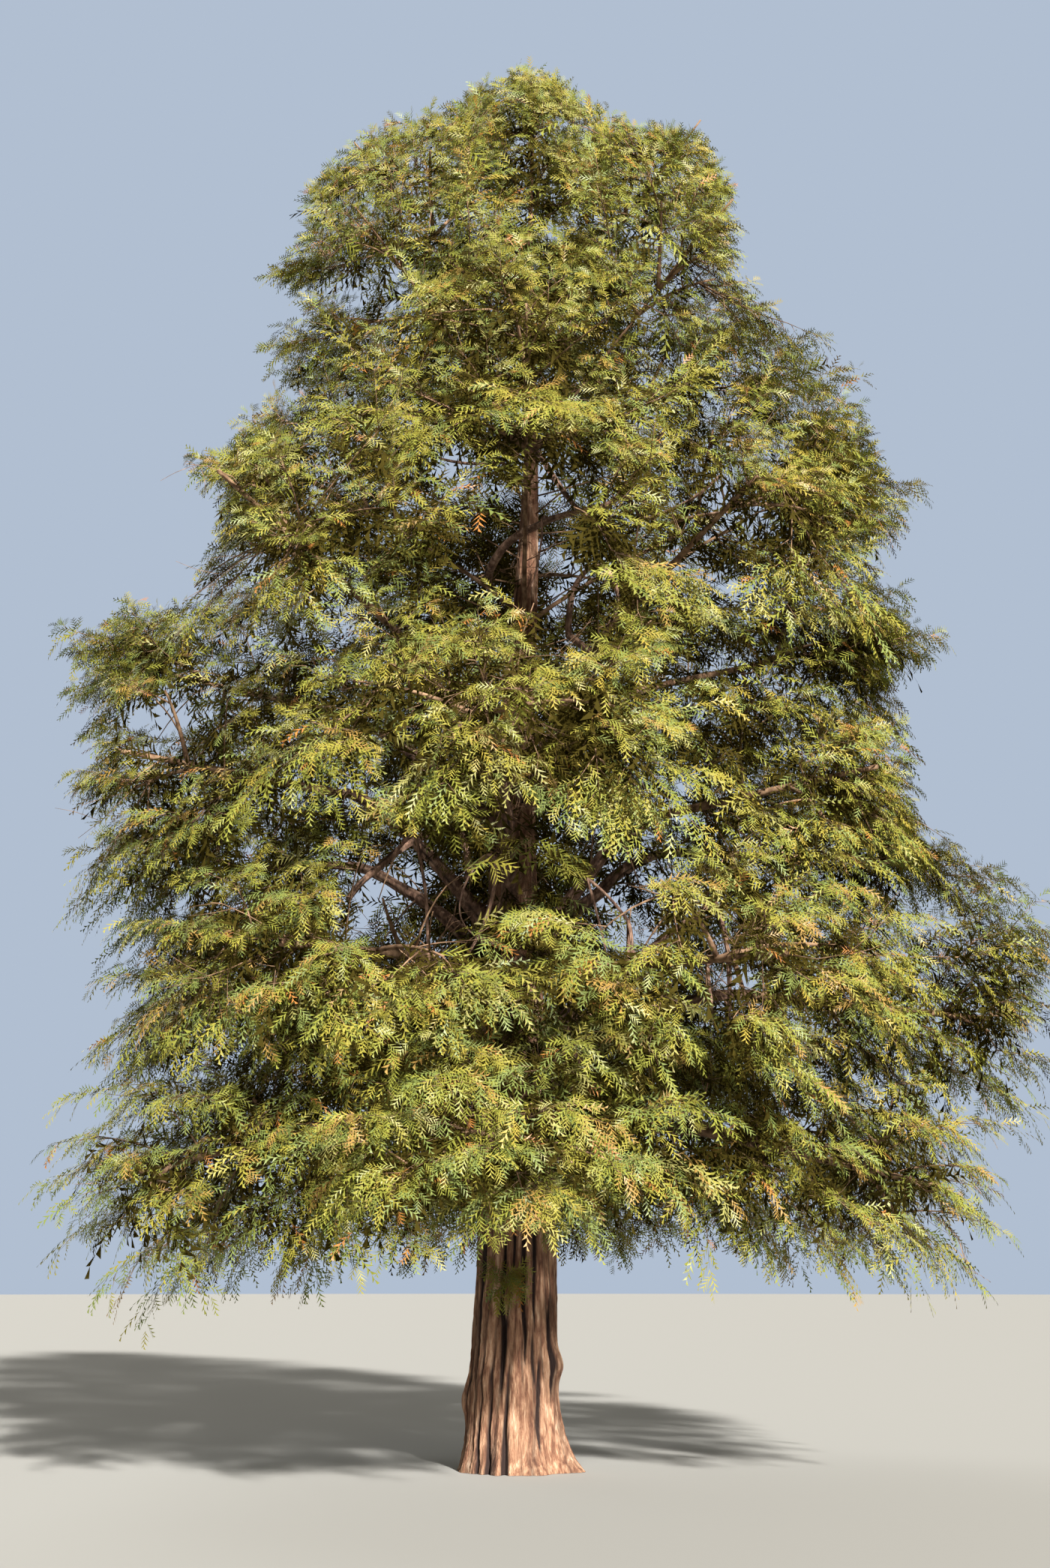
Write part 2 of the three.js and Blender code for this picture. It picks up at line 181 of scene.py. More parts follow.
def trunk_bark(turn, z):
    """How far the bark lies inside the plain trunk, and how much painted shade that place in a groove gets,
    from 0 to 1.
    """
    wander = sum(swing * np.sin(around * turn + up * z + start) for swing, around, up, start in WANDER)
    wander = wander + ROPES.uneven * grain(turn, z, 6, 0.55, 11)
    rope = ridges(ROPES.count * turn + wander, ROPES.edge)
    aside = STRANDS.uneven * grain(turn, z, 14, 0.30, 12)
    strand = ridges(STRANDS.count * turn + STRANDS.swing * wander + aside, STRANDS.edge)
    shown = STRANDS_SHOW.usual + STRANDS_SHOW.varies * grain(turn, z, 11, 0.45, 17)
    strand = 1 - (1 - strand) * np.clip(shown, STRANDS_SHOW.least, STRANDS_SHOW.most)
    aside = FIBRES.uneven * grain(turn, z, 36, 0.16, 13)
    fibre = ridges(FIBRES.count * turn + FIBRES.swing * wander + aside)
    uneven = ROPES_SHOW.usual + ROPES_SHOW.varies * grain(turn, z, 9, 0.7, 14)
    size = np.exp(-z / ROPES.fades)
    depth = ROPES.at_ground * size + ROPES.in_crown * (1 - size)
    strand_depth = STRANDS.depth * (STRANDS.in_crown + (1 - STRANDS.in_crown) * size)
    fibre_depth = FIBRES.depth * (FIBRES.in_crown + (1 - FIBRES.in_crown) * size)
    inward = depth * (1 - rope) * uneven + strand_depth * (1 - strand) + fibre_depth * (1 - fibre)
    inward = inward + PITS * size * grain(turn, z, 40, 0.05, 15)
    # painted shade in the grooves and furrows
    groove = BARK_PAINTED_SHADE.ropes * (1 - rope) * uneven
    groove = groove + BARK_PAINTED_SHADE.strands * (1 - strand) + BARK_PAINTED_SHADE.fibres * (1 - fibre)
    degrees = np.degrees(turn) + FURROW.wander * grain(turn, z, 8, 0.35, 16)
    for direction, low, high, deep, half in FURROWS:
        along = np.clip((z - low) / (high - low), 0, 1)
        length = (4 * along * (1 - along) if low > FURROW.off_ground else 1 - along) ** FURROW.fade
        width = half * (FURROW.narrowest + (1 - FURROW.narrowest) * length)
        furrow = bell(degrees_apart(degrees, direction) / width) * length
        inward = inward + deep * furrow
        groove = groove + BARK_PAINTED_SHADE.furrows * furrow
    return inward, np.clip(groove, 0, 1)


def only_selected(piece):
    bpy.ops.object.select_all(action="DESELECT")
    piece.select_set(True)
    bpy.context.view_layer.objects.active = piece


def limb_blank(name, sides, splits):
    """A closed upright cylinder, one metre in radius and height, cut into rings for a limb's shape."""
    bpy.ops.object.select_all(action="DESELECT")
    bpy.ops.mesh.primitive_cylinder_add(vertices=sides, radius=1, depth=1, end_fill_type="TRIFAN")
    blank = bpy.context.object
    blank.name = blank.data.name = name
    for cuts in splits:
        bpy.ops.object.mode_set(mode="EDIT")
        bpy.ops.mesh.select_mode(type="EDGE")
        bpy.ops.mesh.select_all(action="DESELECT")
        shell = bmesh.from_edit_mesh(blank.data)
        for edge in shell.edges:
            upright = abs(edge.verts[0].co.z - edge.verts[1].co.z) > 1e-6
            edge.select_set(upright)
        bmesh.update_edit_mesh(blank.data)
        bpy.ops.mesh.subdivide(number_cuts=cuts)
        bpy.ops.object.mode_set(mode="OBJECT")
    return blank


def corners_of(piece):
    points = np.empty(len(piece.data.vertices) * 3)
    piece.data.vertices.foreach_get("co", points)
    return points.reshape(-1, 3)


def place_corners(piece, points):
    piece.data.vertices.foreach_set("co", np.ascontiguousarray(points, float).ravel())
    piece.data.update()


def store(piece, name, values):
    layer = piece.data.attributes.new(name, "FLOAT", "POINT")
    layer.data.foreach_set("value", np.ascontiguousarray(values, float).ravel())


TONE_STOPS = (0.30, 0.43, 0.56, 0.72)
# groove values over which the bark's painted shade goes from none to full
PAINTED_SHADE_RANGE = (0.18, 0.70)


def new_material(name):
    made = bpy.data.materials.new(name)
    made.use_nodes = True
    return made, made.node_tree, made.node_tree.nodes["Principled BSDF"]


def add_node(tree, kind, values=()):
    """A shader node with these values on its named inputs."""
    node = tree.nodes.new(kind)
    for name, value in dict(values).items():
        node.inputs[name].default_value = value
    return node


def wire(tree, giver, output, taker, socket):
    tree.links.new(giver.outputs[output], taker.inputs[socket])


def wood_material(name, tones, streak, shade, rough, bump):
    """Bark in streaks of four tones along the limb, pale where strips have peeled, with painted shade in its
    grooves.
    """
    made, tree, shader = new_material(name)
    place = add_node(tree, "ShaderNodeTexCoord")
    along = add_node(tree, "ShaderNodeMapping", {"Scale": streak})
    wire(tree, place, "Object", along, "Vector")
    strips = add_node(
        tree, "ShaderNodeTexNoise", {"Scale": 1, "Detail": 7, "Roughness": 0.62, "Distortion": 0.5})
    wire(tree, along, "Vector", strips, "Vector")
    ramp = add_node(tree, "ShaderNodeValToRGB")
    stops = ramp.color_ramp.elements
    for stop, position, tone in zip(stops, TONE_STOPS[::3], tones[::3]):
        stop.position = position
        stop.color = (*tone, 1)
    for position, tone in zip(TONE_STOPS[1:3], tones[1:3]):
        stops.new(position).color = (*tone, 1)
    wire(tree, strips, "Fac", ramp, "Fac")
    # the groove attribute carries painted shade, which mixes the shade colour into the bark's grooves
    groove = add_node(tree, "ShaderNodeAttribute")
    groove.attribute_name = "groove"
    deep = add_node(
        tree, "ShaderNodeMapRange", {"From Min": PAINTED_SHADE_RANGE[0], "From Max": PAINTED_SHADE_RANGE[1]})
    wire(tree, groove, "Fac", deep, "Value")
    darken = add_node(tree, "ShaderNodeMix")
    darken.data_type = "RGBA"
    darken.inputs["B"].default_value = (*shade, 1)
    wire(tree, deep, "Result", darken, "Factor")
    wire(tree, ramp, "Color", darken, "A")
    wire(tree, darken, "Result", shader, "Base Color")
    flakes = add_node(tree, "ShaderNodeTexNoise", {"Scale": 3.2, "Detail": 5})
    wire(tree, along, "Vector", flakes, "Vector")
    relief = add_node(tree, "ShaderNodeBump", {"Distance": bump, "Strength": 0.8})
    wire(tree, flakes, "Fac", relief, "Height")
    wire(tree, relief, "Normal", shader, "Normal")
    dull = add_node(tree, "ShaderNodeMapRange", {"To Min": rough[0], "To Max": rough[1]})
    wire(tree, flakes, "Fac", dull, "Value")
    wire(tree, dull, "Result", shader, "Roughness")
    return made


trunk = limb_blank("trunk_with_bark", TRUNK_SIDES, TRUNK_SPLITS)
blank = corners_of(trunk)
turn = np.arctan2(blank[:, 1], blank[:, 0])
z = WOOD_TOP * np.clip(blank[:, 2] + 0.5, 0, 1) ** RINGS_CROWD_DOWN
inward, groove = trunk_bark(turn, z)
hub = np.hypot(blank[:, 0], blank[:, 1]) < 0.5
radius = trunk_radius(z, np.degrees(turn))
relief = inward * np.clip(radius / FULL_RELIEF_FROM, 0, 1)
radius = np.where(hub, 0, radius - relief + STANDS_OUT * ROPES.in_crown)
spokes = np.stack([np.cos(turn), np.sin(turn), 0 * turn], axis=-1)
place_corners(trunk, trunk_axis(z) + spokes * radius[:, None])
# painted shade for the bark's grooves and furrows, which the bark material mixes in
store(trunk, "groove", groove)
trunk_material = wood_material(
    "yew_bark",
    tones=[(0.085, 0.032, 0.019), (0.205, 0.094, 0.053), (0.380, 0.215, 0.130), (0.625, 0.440, 0.312)],
    streak=(24, 24, 4.5), shade=(0.020, 0.008, 0.006), rough=(0.78, 0.97), bump=0.022,
)
trunk.data.materials.append(trunk_material)
only_selected(trunk)
bpy.ops.object.shade_smooth_by_angle(angle=math.radians(40))
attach(trunk, "root")
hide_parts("trunk")

# Sawn stub: a limb was cut off high on the front of the trunk, and its pale end grain shows from afar. It
# is a short cylinder with a bevelled rim, sunk into the trunk and square to the limb that it was.
UP = np.array([0.0, 0.0, 1.0])
STUB = SimpleNamespace(turn=-84, height=9.42, radius=0.046, length=0.12, rises=0.5, sides=24)
STUB_RIM = SimpleNamespace(width=0.12, bulge=0.02, grain=0.70)
# painted shade on the stub's bark where it meets the trunk, fading towards its cut end
STUB_PAINTED_SHADE = SimpleNamespace(groove=0.3, below=0.3)


def unit(vectors):
    return vectors / np.maximum(np.linalg.norm(vectors, axis=-1, keepdims=True), 1e-9)


def compass(degrees):
    turn = math.radians(degrees)
    return np.array([math.cos(turn), math.sin(turn), 0.0])


def mottled_material(name, scale, detail, tones, rough):
    """Wood in two tones that run into each other in spots; each tone comes with its place on the noise."""
    made, tree, shader = new_material(name)
    place = add_node(tree, "ShaderNodeTexCoord")
    spots = add_node(tree, "ShaderNodeTexNoise", {"Scale": scale, "Detail": detail})
    wire(tree, place, "Object", spots, "Vector")
    ramp = add_node(tree, "ShaderNodeValToRGB")
    for stop, (position, tone) in zip(ramp.color_ramp.elements, tones):
        stop.position = position
        stop.color = (*tone, 1)
    wire(tree, spots, "Fac", ramp, "Fac")
    wire(tree, ramp, "Color", shader, "Base Color")
    shader.inputs["Roughness"].default_value = rough
    return made


bpy.ops.object.select_all(action="DESELECT")
bpy.ops.mesh.primitive_cylinder_add(vertices=STUB.sides, radius=1, depth=1)
stub = bpy.context.object
stub.name = stub.data.name = "sawn_stub"
bpy.ops.object.mode_set(mode="EDIT")
bpy.ops.mesh.select_mode(type="FACE")
bpy.ops.mesh.select_all(action="DESELECT")
shell = bmesh.from_edit_mesh(stub.data)
for face in shell.faces:
    face.select_set(face.normal.z > 0.9)
bmesh.update_edit_mesh(stub.data)
bpy.ops.mesh.inset(thickness=STUB_RIM.width)
bpy.ops.transform.translate(value=(0, 0, STUB_RIM.bulge))
bpy.ops.mesh.inset(thickness=STUB_RIM.grain)
bpy.ops.object.mode_set(mode="OBJECT")
out = unit(compass(STUB.turn) + STUB.rises * UP)
aside = unit(np.cross(out, UP))
above = np.cross(aside, out)
reach = float(trunk_radius(STUB.height, 0)) + STUB.length
blank = corners_of(stub)
points = trunk_axis(STUB.height) + blank[:, :1] * aside * STUB.radius + blank[:, 1:2] * above * STUB.radius
place_corners(stub, points + (blank[:, 2:] + 0.5) * out * reach)
# painted shade where the stub enters the trunk
store(stub, "groove", STUB_PAINTED_SHADE.groove * (blank[:, 2] < STUB_PAINTED_SHADE.below))
stub.data.materials.append(trunk_material)
sawn_wood = mottled_material(
    "sawn_yew_wood", scale=60, detail=4, tones=[(0, (0.52, 0.36, 0.20)), (1, (0.86, 0.74, 0.52))], rough=0.85)
stub.data.materials.append(sawn_wood)
stub.data.polygons.foreach_set("material_index", [int(f.normal.dot(out) > 0.8) for f in stub.data.polygons])
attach(stub, "root")

# Boughs: the main limbs, in four tiers. Each leaves the trunk at a swollen collar, rises, and bends over into
# the line of the mass of foliage that it carries. They are round limbs with ropey bark, on the paths of the
# solid boughs, and they taper to where they enter their mass.
TIERS = [
    # height of the masses' middles, reach from the trunk, how much more of it to +X, how many, direction of
    # the first; half depth, half thickness, tilt, how far below the mass its bough starts, the bough's girth
    dict(name="skirt", height=2.56, reach=4.25, aside=0.10, count=6, turn=30,
         depth=1.40, thick=0.90, tilt=-14, drop=0.15, girth=0.074),
    dict(name="low", height=4.02, reach=4.35, aside=0.45, count=6, turn=0,
         depth=1.45, thick=0.88, tilt=-6, drop=0.80, girth=0.082),
    dict(name="waist", height=5.70, reach=4.40, aside=-0.10, count=6, turn=30,
         depth=1.40, thick=0.93, tilt=4, drop=1.15, girth=0.076),
    dict(name="shoulder", height=7.48, reach=4.38, aside=-0.29, count=5, turn=18,
         depth=1.45, thick=0.98, tilt=18, drop=1.35, girth=0.062),
    dict(name="high", height=9.15, reach=3.50, aside=0.08, count=4, turn=0,
         depth=1.40, thick=1.00, tilt=24, drop=0.90, girth=0.040),
    dict(name="upper", height=10.70, reach=2.90, aside=0.05, count=4, turn=45,
         depth=1.30, thick=0.98, tilt=32, drop=0.80, girth=0.032),
    dict(name="crest", height=12.00, reach=2.30, aside=0.00, count=3, turn=90,
         depth=1.15, thick=0.95, tilt=44, drop=0.70, girth=0.026),
]
BOUGH_TIERS = ("skirt", "low", "waist", "shoulder")
UNEVEN = SimpleNamespace(turn=5, reach=0.035, height=0.15)
OVERLAP = 1.06
ENTRY = -0.9
BOUGH = SimpleNamespace(thins=0.42, sunk=0.6, rises=0.2, leaves=0.4, joins=0.35, sides=20, splits=(47,))
COLLAR = SimpleNamespace(swell=0.5, reach=0.25, fade=0.13)
LIMB_BARK = SimpleNamespace(ropes=5, twist=2.5, wander=1.5, edge=0.6, depth=0.22, knots=0.09)
# painted shade in the grooves between ropes and in the pits of knots
LIMB_PAINTED_SHADE = SimpleNamespace(ropes=0.75, pits=0.2, pits_below=-0.4)
LIMB_BENDS = 0.25
LIMB_STEPS = 240
CURVE_STEPS = 120
PATH_POINTS = 41
NEARLY_UPRIGHT = 0.1


def chance(a, b):
    """A number from -1 to 1 that is the same each time for the same two keys."""
    s = math.sin(a * 12.9898 + b * 78.233 + 4.1) * 43758.5453
    return 2 * (s - math.floor(s)) - 1


def mass_of(tier, index, key):
    turn = tier.turn + 360 / tier.count * index + UNEVEN.turn * chance(key, 1)
    level = tier.reach + tier.aside * math.cos(math.radians(turn))
    reach = level * (1 + UNEVEN.reach * chance(key, 2))
    height = tier.height + UNEVEN.height * chance(key, 3)
    out = compass(turn)
    tilt = math.radians(tier.tilt)
    u = out * math.cos(tilt) + UP * math.sin(tilt)
    v = np.cross(UP, out)
    middle = reach - tier.depth * math.cos(tilt)
    return SimpleNamespace(
        name=f"{tier.name}_{index + 1}", tier=tier, key=key, turn=turn, out=out,
        axes=np.array([u, v, np.cross(u, v)]),
        half=np.array([tier.depth, math.pi * middle / tier.count * OVERLAP, tier.thick]),
        centre=trunk_axis(height) + out * middle,
    )


def even_path(controls, count=PATH_POINTS):
    """Points evenly spaced along the smooth curve that two, three or four control points lead."""
    t = np.linspace(0, 1, CURVE_STEPS + 1)[:, None]
    degree = len(controls) - 1
    curve = sum(math.comb(degree, i) * (1 - t) ** (degree - i) * t**i * c for i, c in enumerate(controls))
    run = np.concatenate([[0], np.cumsum(np.linalg.norm(np.diff(curve, axis=0), axis=1))])
    even = np.linspace(0, run[-1], count)
    return np.stack([np.interp(even, run, curve[:, i]) for i in range(3)], axis=-1)


def length_of(path):
    return float(np.linalg.norm(np.diff(path, axis=0), axis=1).sum())


def point_in(mass, x, y, z):
    return mass.centre + np.array([x, y, z]) * mass.half @ mass.axes


def frames_along(paths):
    """Headings and two cross directions at each point of paths, carried along without twist."""
    heading = unit(np.gradient(paths, axis=1))
    start = np.cross(heading[:, 0], UP)
    start = np.where(np.linalg.norm(start, axis=-1, keepdims=True) < NEARLY_UPRIGHT, [1.0, 0.0, 0.0], start)
    sides = [unit(start - heading[:, 0] * (start * heading[:, 0]).sum(-1, keepdims=True))]
    for i in range(1, paths.shape[1]):
        across = sides[-1] - heading[:, i] * (sides[-1] * heading[:, i]).sum(-1, keepdims=True)
        sides.append(unit(across))
    first = np.stack(sides, axis=1)
    return heading, first, np.cross(heading, first)


masses = []
for tier in TIERS:
    tier = SimpleNamespace(**tier)
    for index in range(tier.count):
        masses.append(mass_of(tier, index, len(masses) + 1))
for mass in masses:
    tier = mass.tier
    root = point_in(mass, ENTRY, 0, 0)
    foot = root[2] - tier.drop
    start = trunk_axis(foot) + mass.out * float(trunk_radius(foot, mass.turn)) * BOUGH.sunk
    run = math.hypot(*(root - start)[:2])
    rising = unit(mass.out + UP * (tier.drop / run + BOUGH.rises))
    bends = [start + rising * run * BOUGH.leaves, root - mass.axes[0] * run * BOUGH.joins]
    mass.root = root
    mass.controls = [start, *bends, root]
    mass.path = even_path(mass.controls)

bough_material = wood_material(
    "bough_bark",
    tones=[(0.050, 0.026, 0.018), (0.150, 0.082, 0.055), (0.300, 0.180, 0.125), (0.470, 0.330, 0.240)],
    streak=(26, 26, 9), shade=(0.020, 0.010, 0.008), rough=(0.80, 0.97), bump=0.006,
)
bough_blank = limb_blank("bough_blank", BOUGH.sides, BOUGH.splits)


def shaped_limb(blank_piece, controls, girth, thins, swell, key):
    """A copy of a blank, shaped along a curve as a round limb with ropes of bark, knots and uneven bends,
    with painted shade stored for its grooves and pits.
    """
    limb = blank_piece.copy()
    limb.data = blank_piece.data.copy()
    bpy.context.collection.objects.link(limb)
    blank = corners_of(limb)
    turn = np.arctan2(blank[:, 1], blank[:, 0])
    share = np.clip(blank[:, 2] + 0.5, 0, 1)
    path = even_path(controls, LIMB_STEPS + 1)
    length = length_of(path)
    run = np.linspace(0, length, LIMB_STEPS + 1)[1:-1] + key
    bends = [grain(0 * run, run, 1, 0.35, 23 + i) for i in range(3)]
    path[1:-1] += LIMB_BENDS * girth * np.stack(bends, axis=-1)
    along = share * length
    collar = swell * np.exp(-np.maximum(0, along - COLLAR.reach) / COLLAR.fade)
    wander = LIMB_BARK.wander * grain(turn, along + key, 4, 0.30, 21)
    rope = ridges(LIMB_BARK.ropes * turn + LIMB_BARK.twist * along + wander, LIMB_BARK.edge)
    knots = grain(turn, along + 3 * key, 5, 0.11, 22)
    relief = 1 - LIMB_BARK.depth * (1 - rope) + LIMB_BARK.knots * knots
    radius = girth * (1 - thins * share + collar) * relief
    radius = np.where(np.hypot(blank[:, 0], blank[:, 1]) < 0.5, 0, radius)
    _, first, second = (d[0] for d in frames_along(path[None]))
    ring = np.round(share * LIMB_STEPS).astype(int)
    spoke = first[ring] * np.cos(turn)[:, None] + second[ring] * np.sin(turn)[:, None]
    place_corners(limb, path[ring] + spoke * radius[:, None])
    # painted shade for the grooves and pits, which the bark material mixes in
    groove = LIMB_PAINTED_SHADE.ropes * (1 - rope) + LIMB_PAINTED_SHADE.pits * (knots < LIMB_PAINTED_SHADE.pits_below)
    store(limb, "groove", np.clip(groove, 0, 1))
    return limb


def joined(limbs, name, material):
    bpy.ops.object.select_all(action="DESELECT")
    for limb in limbs:
        limb.select_set(True)
    bpy.context.view_layer.objects.active = limbs[0]
    bpy.ops.object.join()
    whole = limbs[0]
    whole.name = whole.data.name = name
    whole.data.materials.append(material)
    only_selected(whole)
    bpy.ops.object.shade_smooth_by_angle(angle=math.radians(50))
    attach(whole, "root")
    return whole


for name in BOUGH_TIERS:
    group = [m for m in masses if m.tier.name == name]
    limbs = []
    for mass in group:
        girth = mass.tier.girth
        limbs.append(shaped_limb(bough_blank, mass.controls, girth, BOUGH.thins, COLLAR.swell, mass.key))
    boughs = joined(limbs, f"boughs_{name}", bough_material)
    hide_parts(*[f"bough_{m.name}" for m in group])
bpy.data.objects.remove(bough_blank)

# Bare limbs: in the crown's two openings, high up and at half height, older limbs without needles show. They
# are round wood with the bark of the boughs, and each starts from the nearest older limb or from the trunk.
BARE_LIMBS = [
    # points on the way, and girth
    ([(0.03, -0.50, 9.45), (0.32, -0.80, 9.00), (0.42, -1.10, 8.50), (0.60, -1.30, 8.25)], 0.036),
    ([(0.60, -1.30, 8.25), (1.05, -1.40, 8.20), (1.10, -1.50, 8.60), (1.35, -1.60, 8.90)], 0.030),
    ([(0.60, -1.30, 8.25), (0.80, -1.40, 8.00), (1.05, -1.50, 7.70)], 0.026),
    ([(-0.22, -0.20, 8.15), (0.00, -0.60, 8.45), (0.40, -1.00, 8.30), (0.59, -1.30, 8.24)], 0.044),
    ([(0.50, -0.90, 7.20), (0.48, -0.90, 7.75), (0.75, -1.00, 7.85)], 0.034),
    ([(0.85, -1.00, 7.80), (1.05, -1.00, 7.55), (0.85, -1.00, 7.25)], 0.024),
    ([(0.26, -1.00, 8.30), (0.28, -1.10, 8.00), (0.17, -1.10, 7.60)], 0.012),
    ([(-0.10, 0.00, 9.55), (-0.50, -0.30, 9.45), (-0.80, -0.50, 9.40)], 0.024),
    ([(-0.10, 0.00, 9.35), (-0.40, -0.30, 9.15), (-0.70, -0.60, 9.10)], 0.020),
    ([(1.20, -0.90, 8.35), (1.50, -1.20, 8.25), (1.85, -1.50, 8.50)], 0.022),
    ([(1.30, -0.90, 8.25), (1.60, -1.20, 8.25), (1.90, -1.50, 8.15)], 0.020),
    ([(-0.50, -1.00, 5.40), (-0.95, -1.60, 5.15), (-1.30, -2.20, 4.50)], 0.042),
    ([(-0.45, -1.40, 5.25), (-0.35, -1.50, 5.00), (-0.38, -1.50, 4.80)], 0.034),
    ([(-0.80, -1.90, 5.10), (-0.68, -2.00, 4.65), (-0.66, -2.10, 4.00)], 0.017),
    ([(-0.13, -1.90, 4.90), (-0.12, -2.00, 4.45), (-0.36, -2.10, 4.05)], 0.022),
    ([(-0.25, -1.90, 4.90), (-0.60, -2.00, 4.40), (-0.24, -2.00, 4.20)], 0.010),
    ([(1.66, -2.00, 4.50), (1.80, -2.10, 3.95), (1.68, -2.20, 3.35)], 0.024),
    ([(1.57, -2.00, 4.00), (1.60, -2.00, 3.55)], 0.018),
    ([(0.95, -1.80, 4.40), (1.02, -1.90, 4.10), (0.88, -1.90, 3.75)], 0.018),
    ([(0.99, -1.90, 4.10), (1.04, -1.90, 3.75)], 0.014),
    ([(0.62, -1.80, 4.75), (0.69, -1.80, 4.50), (0.77, -1.80, 4.15)], 0.013),
    ([(0.13, -1.60, 4.10), (0.04, -1.80, 3.65)], 0.024),
    ([(0.26, -1.60, 4.00), (0.43, -1.80, 3.80)], 0.020),
]
BARE_LIMB = SimpleNamespace(sides=10, splits=(23,), thins=0.35)
LEAD_IN = SimpleNamespace(bow=0.06, girth=1.1, thins=0.1)
bare_blank = limb_blank("bare_limb_blank", BARE_LIMB.sides, BARE_LIMB.splits)
trunk_line = trunk_axis(np.linspace(1, WOOD_TOP, 240))
older_wood = np.concatenate([trunk_line, *[m.path for m in masses]])
limbs = []
for number, (points, girth) in enumerate(BARE_LIMBS):
    points = np.array(points)
    nearest = older_wood[np.argmin(np.linalg.norm(older_wood - points[0], axis=1))]
    older_wood = np.concatenate([older_wood, even_path(points)])
    if np.linalg.norm(nearest - points[0]) > girth:
        lead_in = [nearest, (nearest + points[0]) / 2 + LEAD_IN.bow * UP, points[0]]
        limbs.append(shaped_limb(bare_blank, lead_in, LEAD_IN.girth * girth, LEAD_IN.thins, 0, number))
    limbs.append(shaped_limb(bare_blank, points, girth, BARE_LIMB.thins, 0, 40 + number))
joined(limbs, "bare_limbs", bough_material)
bpy.data.objects.remove(bare_blank)

# Twigs: in every mass a stem goes on from its bough, or straight from the trunk, and bears twigs; these bear
# branches towards the skin of the mass on all sides, and each branch ends in sprays on thin axes of their
# own. They are thin round wood, grown by the rule of the solids and joined into one mesh for each tier.
GOLDEN = math.pi * (3 - math.sqrt(5))
LEADER = SimpleNamespace(height=12.95, reach=1.05, thick=1.15, stem=0.020, sunk=0.06)
DOME = SimpleNamespace(top=14.0, falls=0.28)
PROUD = 0.07
STACKED = 1.45
FULLNESS = 2.4
SPREAD = np.array([1.0, 0.84, 0.74])
WOOD_MAY_CROSS = -0.10
SPRAY_MAY_CROSS = -0.16
NEEDLES_REACH = 0.09
FACES_TRUNK = -0.75
BUD = SimpleNamespace(apart=0.1, behind=0.2)
STEM = SimpleNamespace(end=0.55, thins=0.5, sunk=0.04, bend=-0.3, bare=0.2, bare_on_trunk=0.55)
TWIG = SimpleNamespace(
    count=4, girth=0.025, tip=0.010, bare=0.3, reach=0.55, shortest=0.2, arch=0.12, aside=0.8)
BRANCHES = [
    # how many there are in a mass whose middle lies below this height
    (25, 5),
    (22, 11),
    (29, HEIGHT),
]
BRANCH = SimpleNamespace(girth=0.011, tip=0.005, reach=0.62, shortest=0.12, rise=0.10, aside=0.12, points=9)
BRANCH_END = SimpleNamespace(share=0.90, at_top=0.82, top=12, uneven=0.10, onward=np.array([0.30, 0.0, 0.08]))
INSIDE = SimpleNamespace(
    # branches on the boughs, on their way to the masses
    count=7, first=0.3, last=0.98, turn=1.9, out=0.35, length=0.55, uneven=0.25, arch=0.15, spray=0.5)
PLUME = SimpleNamespace(depth=0.8, usual=0.6, varies=0.4, pairs_below=12, bare=0.72, sags=0.08, points=13)
HANGING = SimpleNamespace(
    # branches that fill the crown between its tiers
    heights=(3.35, 4.85, 6.50, 8.20), count=20, share=0.86, bare=0.42, turn=0.3, varies=0.06, height=0.25)
TRUNK_SHOOTS = SimpleNamespace(count=72, low=7.3, high=12.9, share=0.46, rise=0.40, varies=0.2)
BARE = SimpleNamespace(
    # dead twigs without needles, more of them low on the front
    count=8, in_front=5, front=-0.7, below=7, first=0.15, length=0.62, varies=0.5, girth=0.006, tip=0.002,
    onward=0.5, hang=-0.35, sag=0.15, kinks=(0.35, 0.7), kinked=0.34, points=13)
FORK = SimpleNamespace(
    count=3, first=0.25, last=0.8, aside=1.1, bend=0.2, kinked=0.07, length=0.45, girth=0.5, tip=0.0015,
    points=7)

EYE = np.array([0.107, -16.3, 1.6])
OUTLINE_SEEN = [
    # height, and how far the crown is seen to reach to -X and to +X there, at the trunk's distance
    (5.20, -4.60, 5.10),
    (5.75, -4.20, 3.80),
    (6.50, -4.20, 3.85),
    (6.95, -4.30, 3.75),
    (7.30, -4.00, 3.60),
    (7.60, -4.45, 4.20),
    (7.85, -3.90, 3.90),
    (8.10, -3.10, 3.75),
    (8.95, -2.85, 3.90),
    (9.15, -2.90, 4.10),
    (9.32, -3.05, 3.80),
    (9.52, -3.40, 3.60),
    (9.60, -2.95, 3.60),
    (9.80, -2.75, 3.60),
    (10.35, -2.55, 3.50),
    (10.70, -2.50, 3.15),
    (11.05, -2.50, 2.65),
    (11.60, -2.50, 2.25),
    (12.35, -2.50, 2.30),
    (12.80, -2.10, 2.25),
    (13.20, -1.65, 2.00),
    (13.35, -1.40, 1.30),
    (13.60, -1.00, 0.95),
    (13.85, -0.60, 0.60),
    (14.05, 0.00, 0.30),
]
LOWEST_SEEN = [
    # x at the trunk's distance, and the height down to which sprays hang there
    (-4.60, 1.35),
    (-2.20, 1.28),
    (-1.10, 1.35),
    (-0.65, 1.90),
    (0.80, 1.92),
    (1.40, 1.62),
    (4.60, 1.55),
]
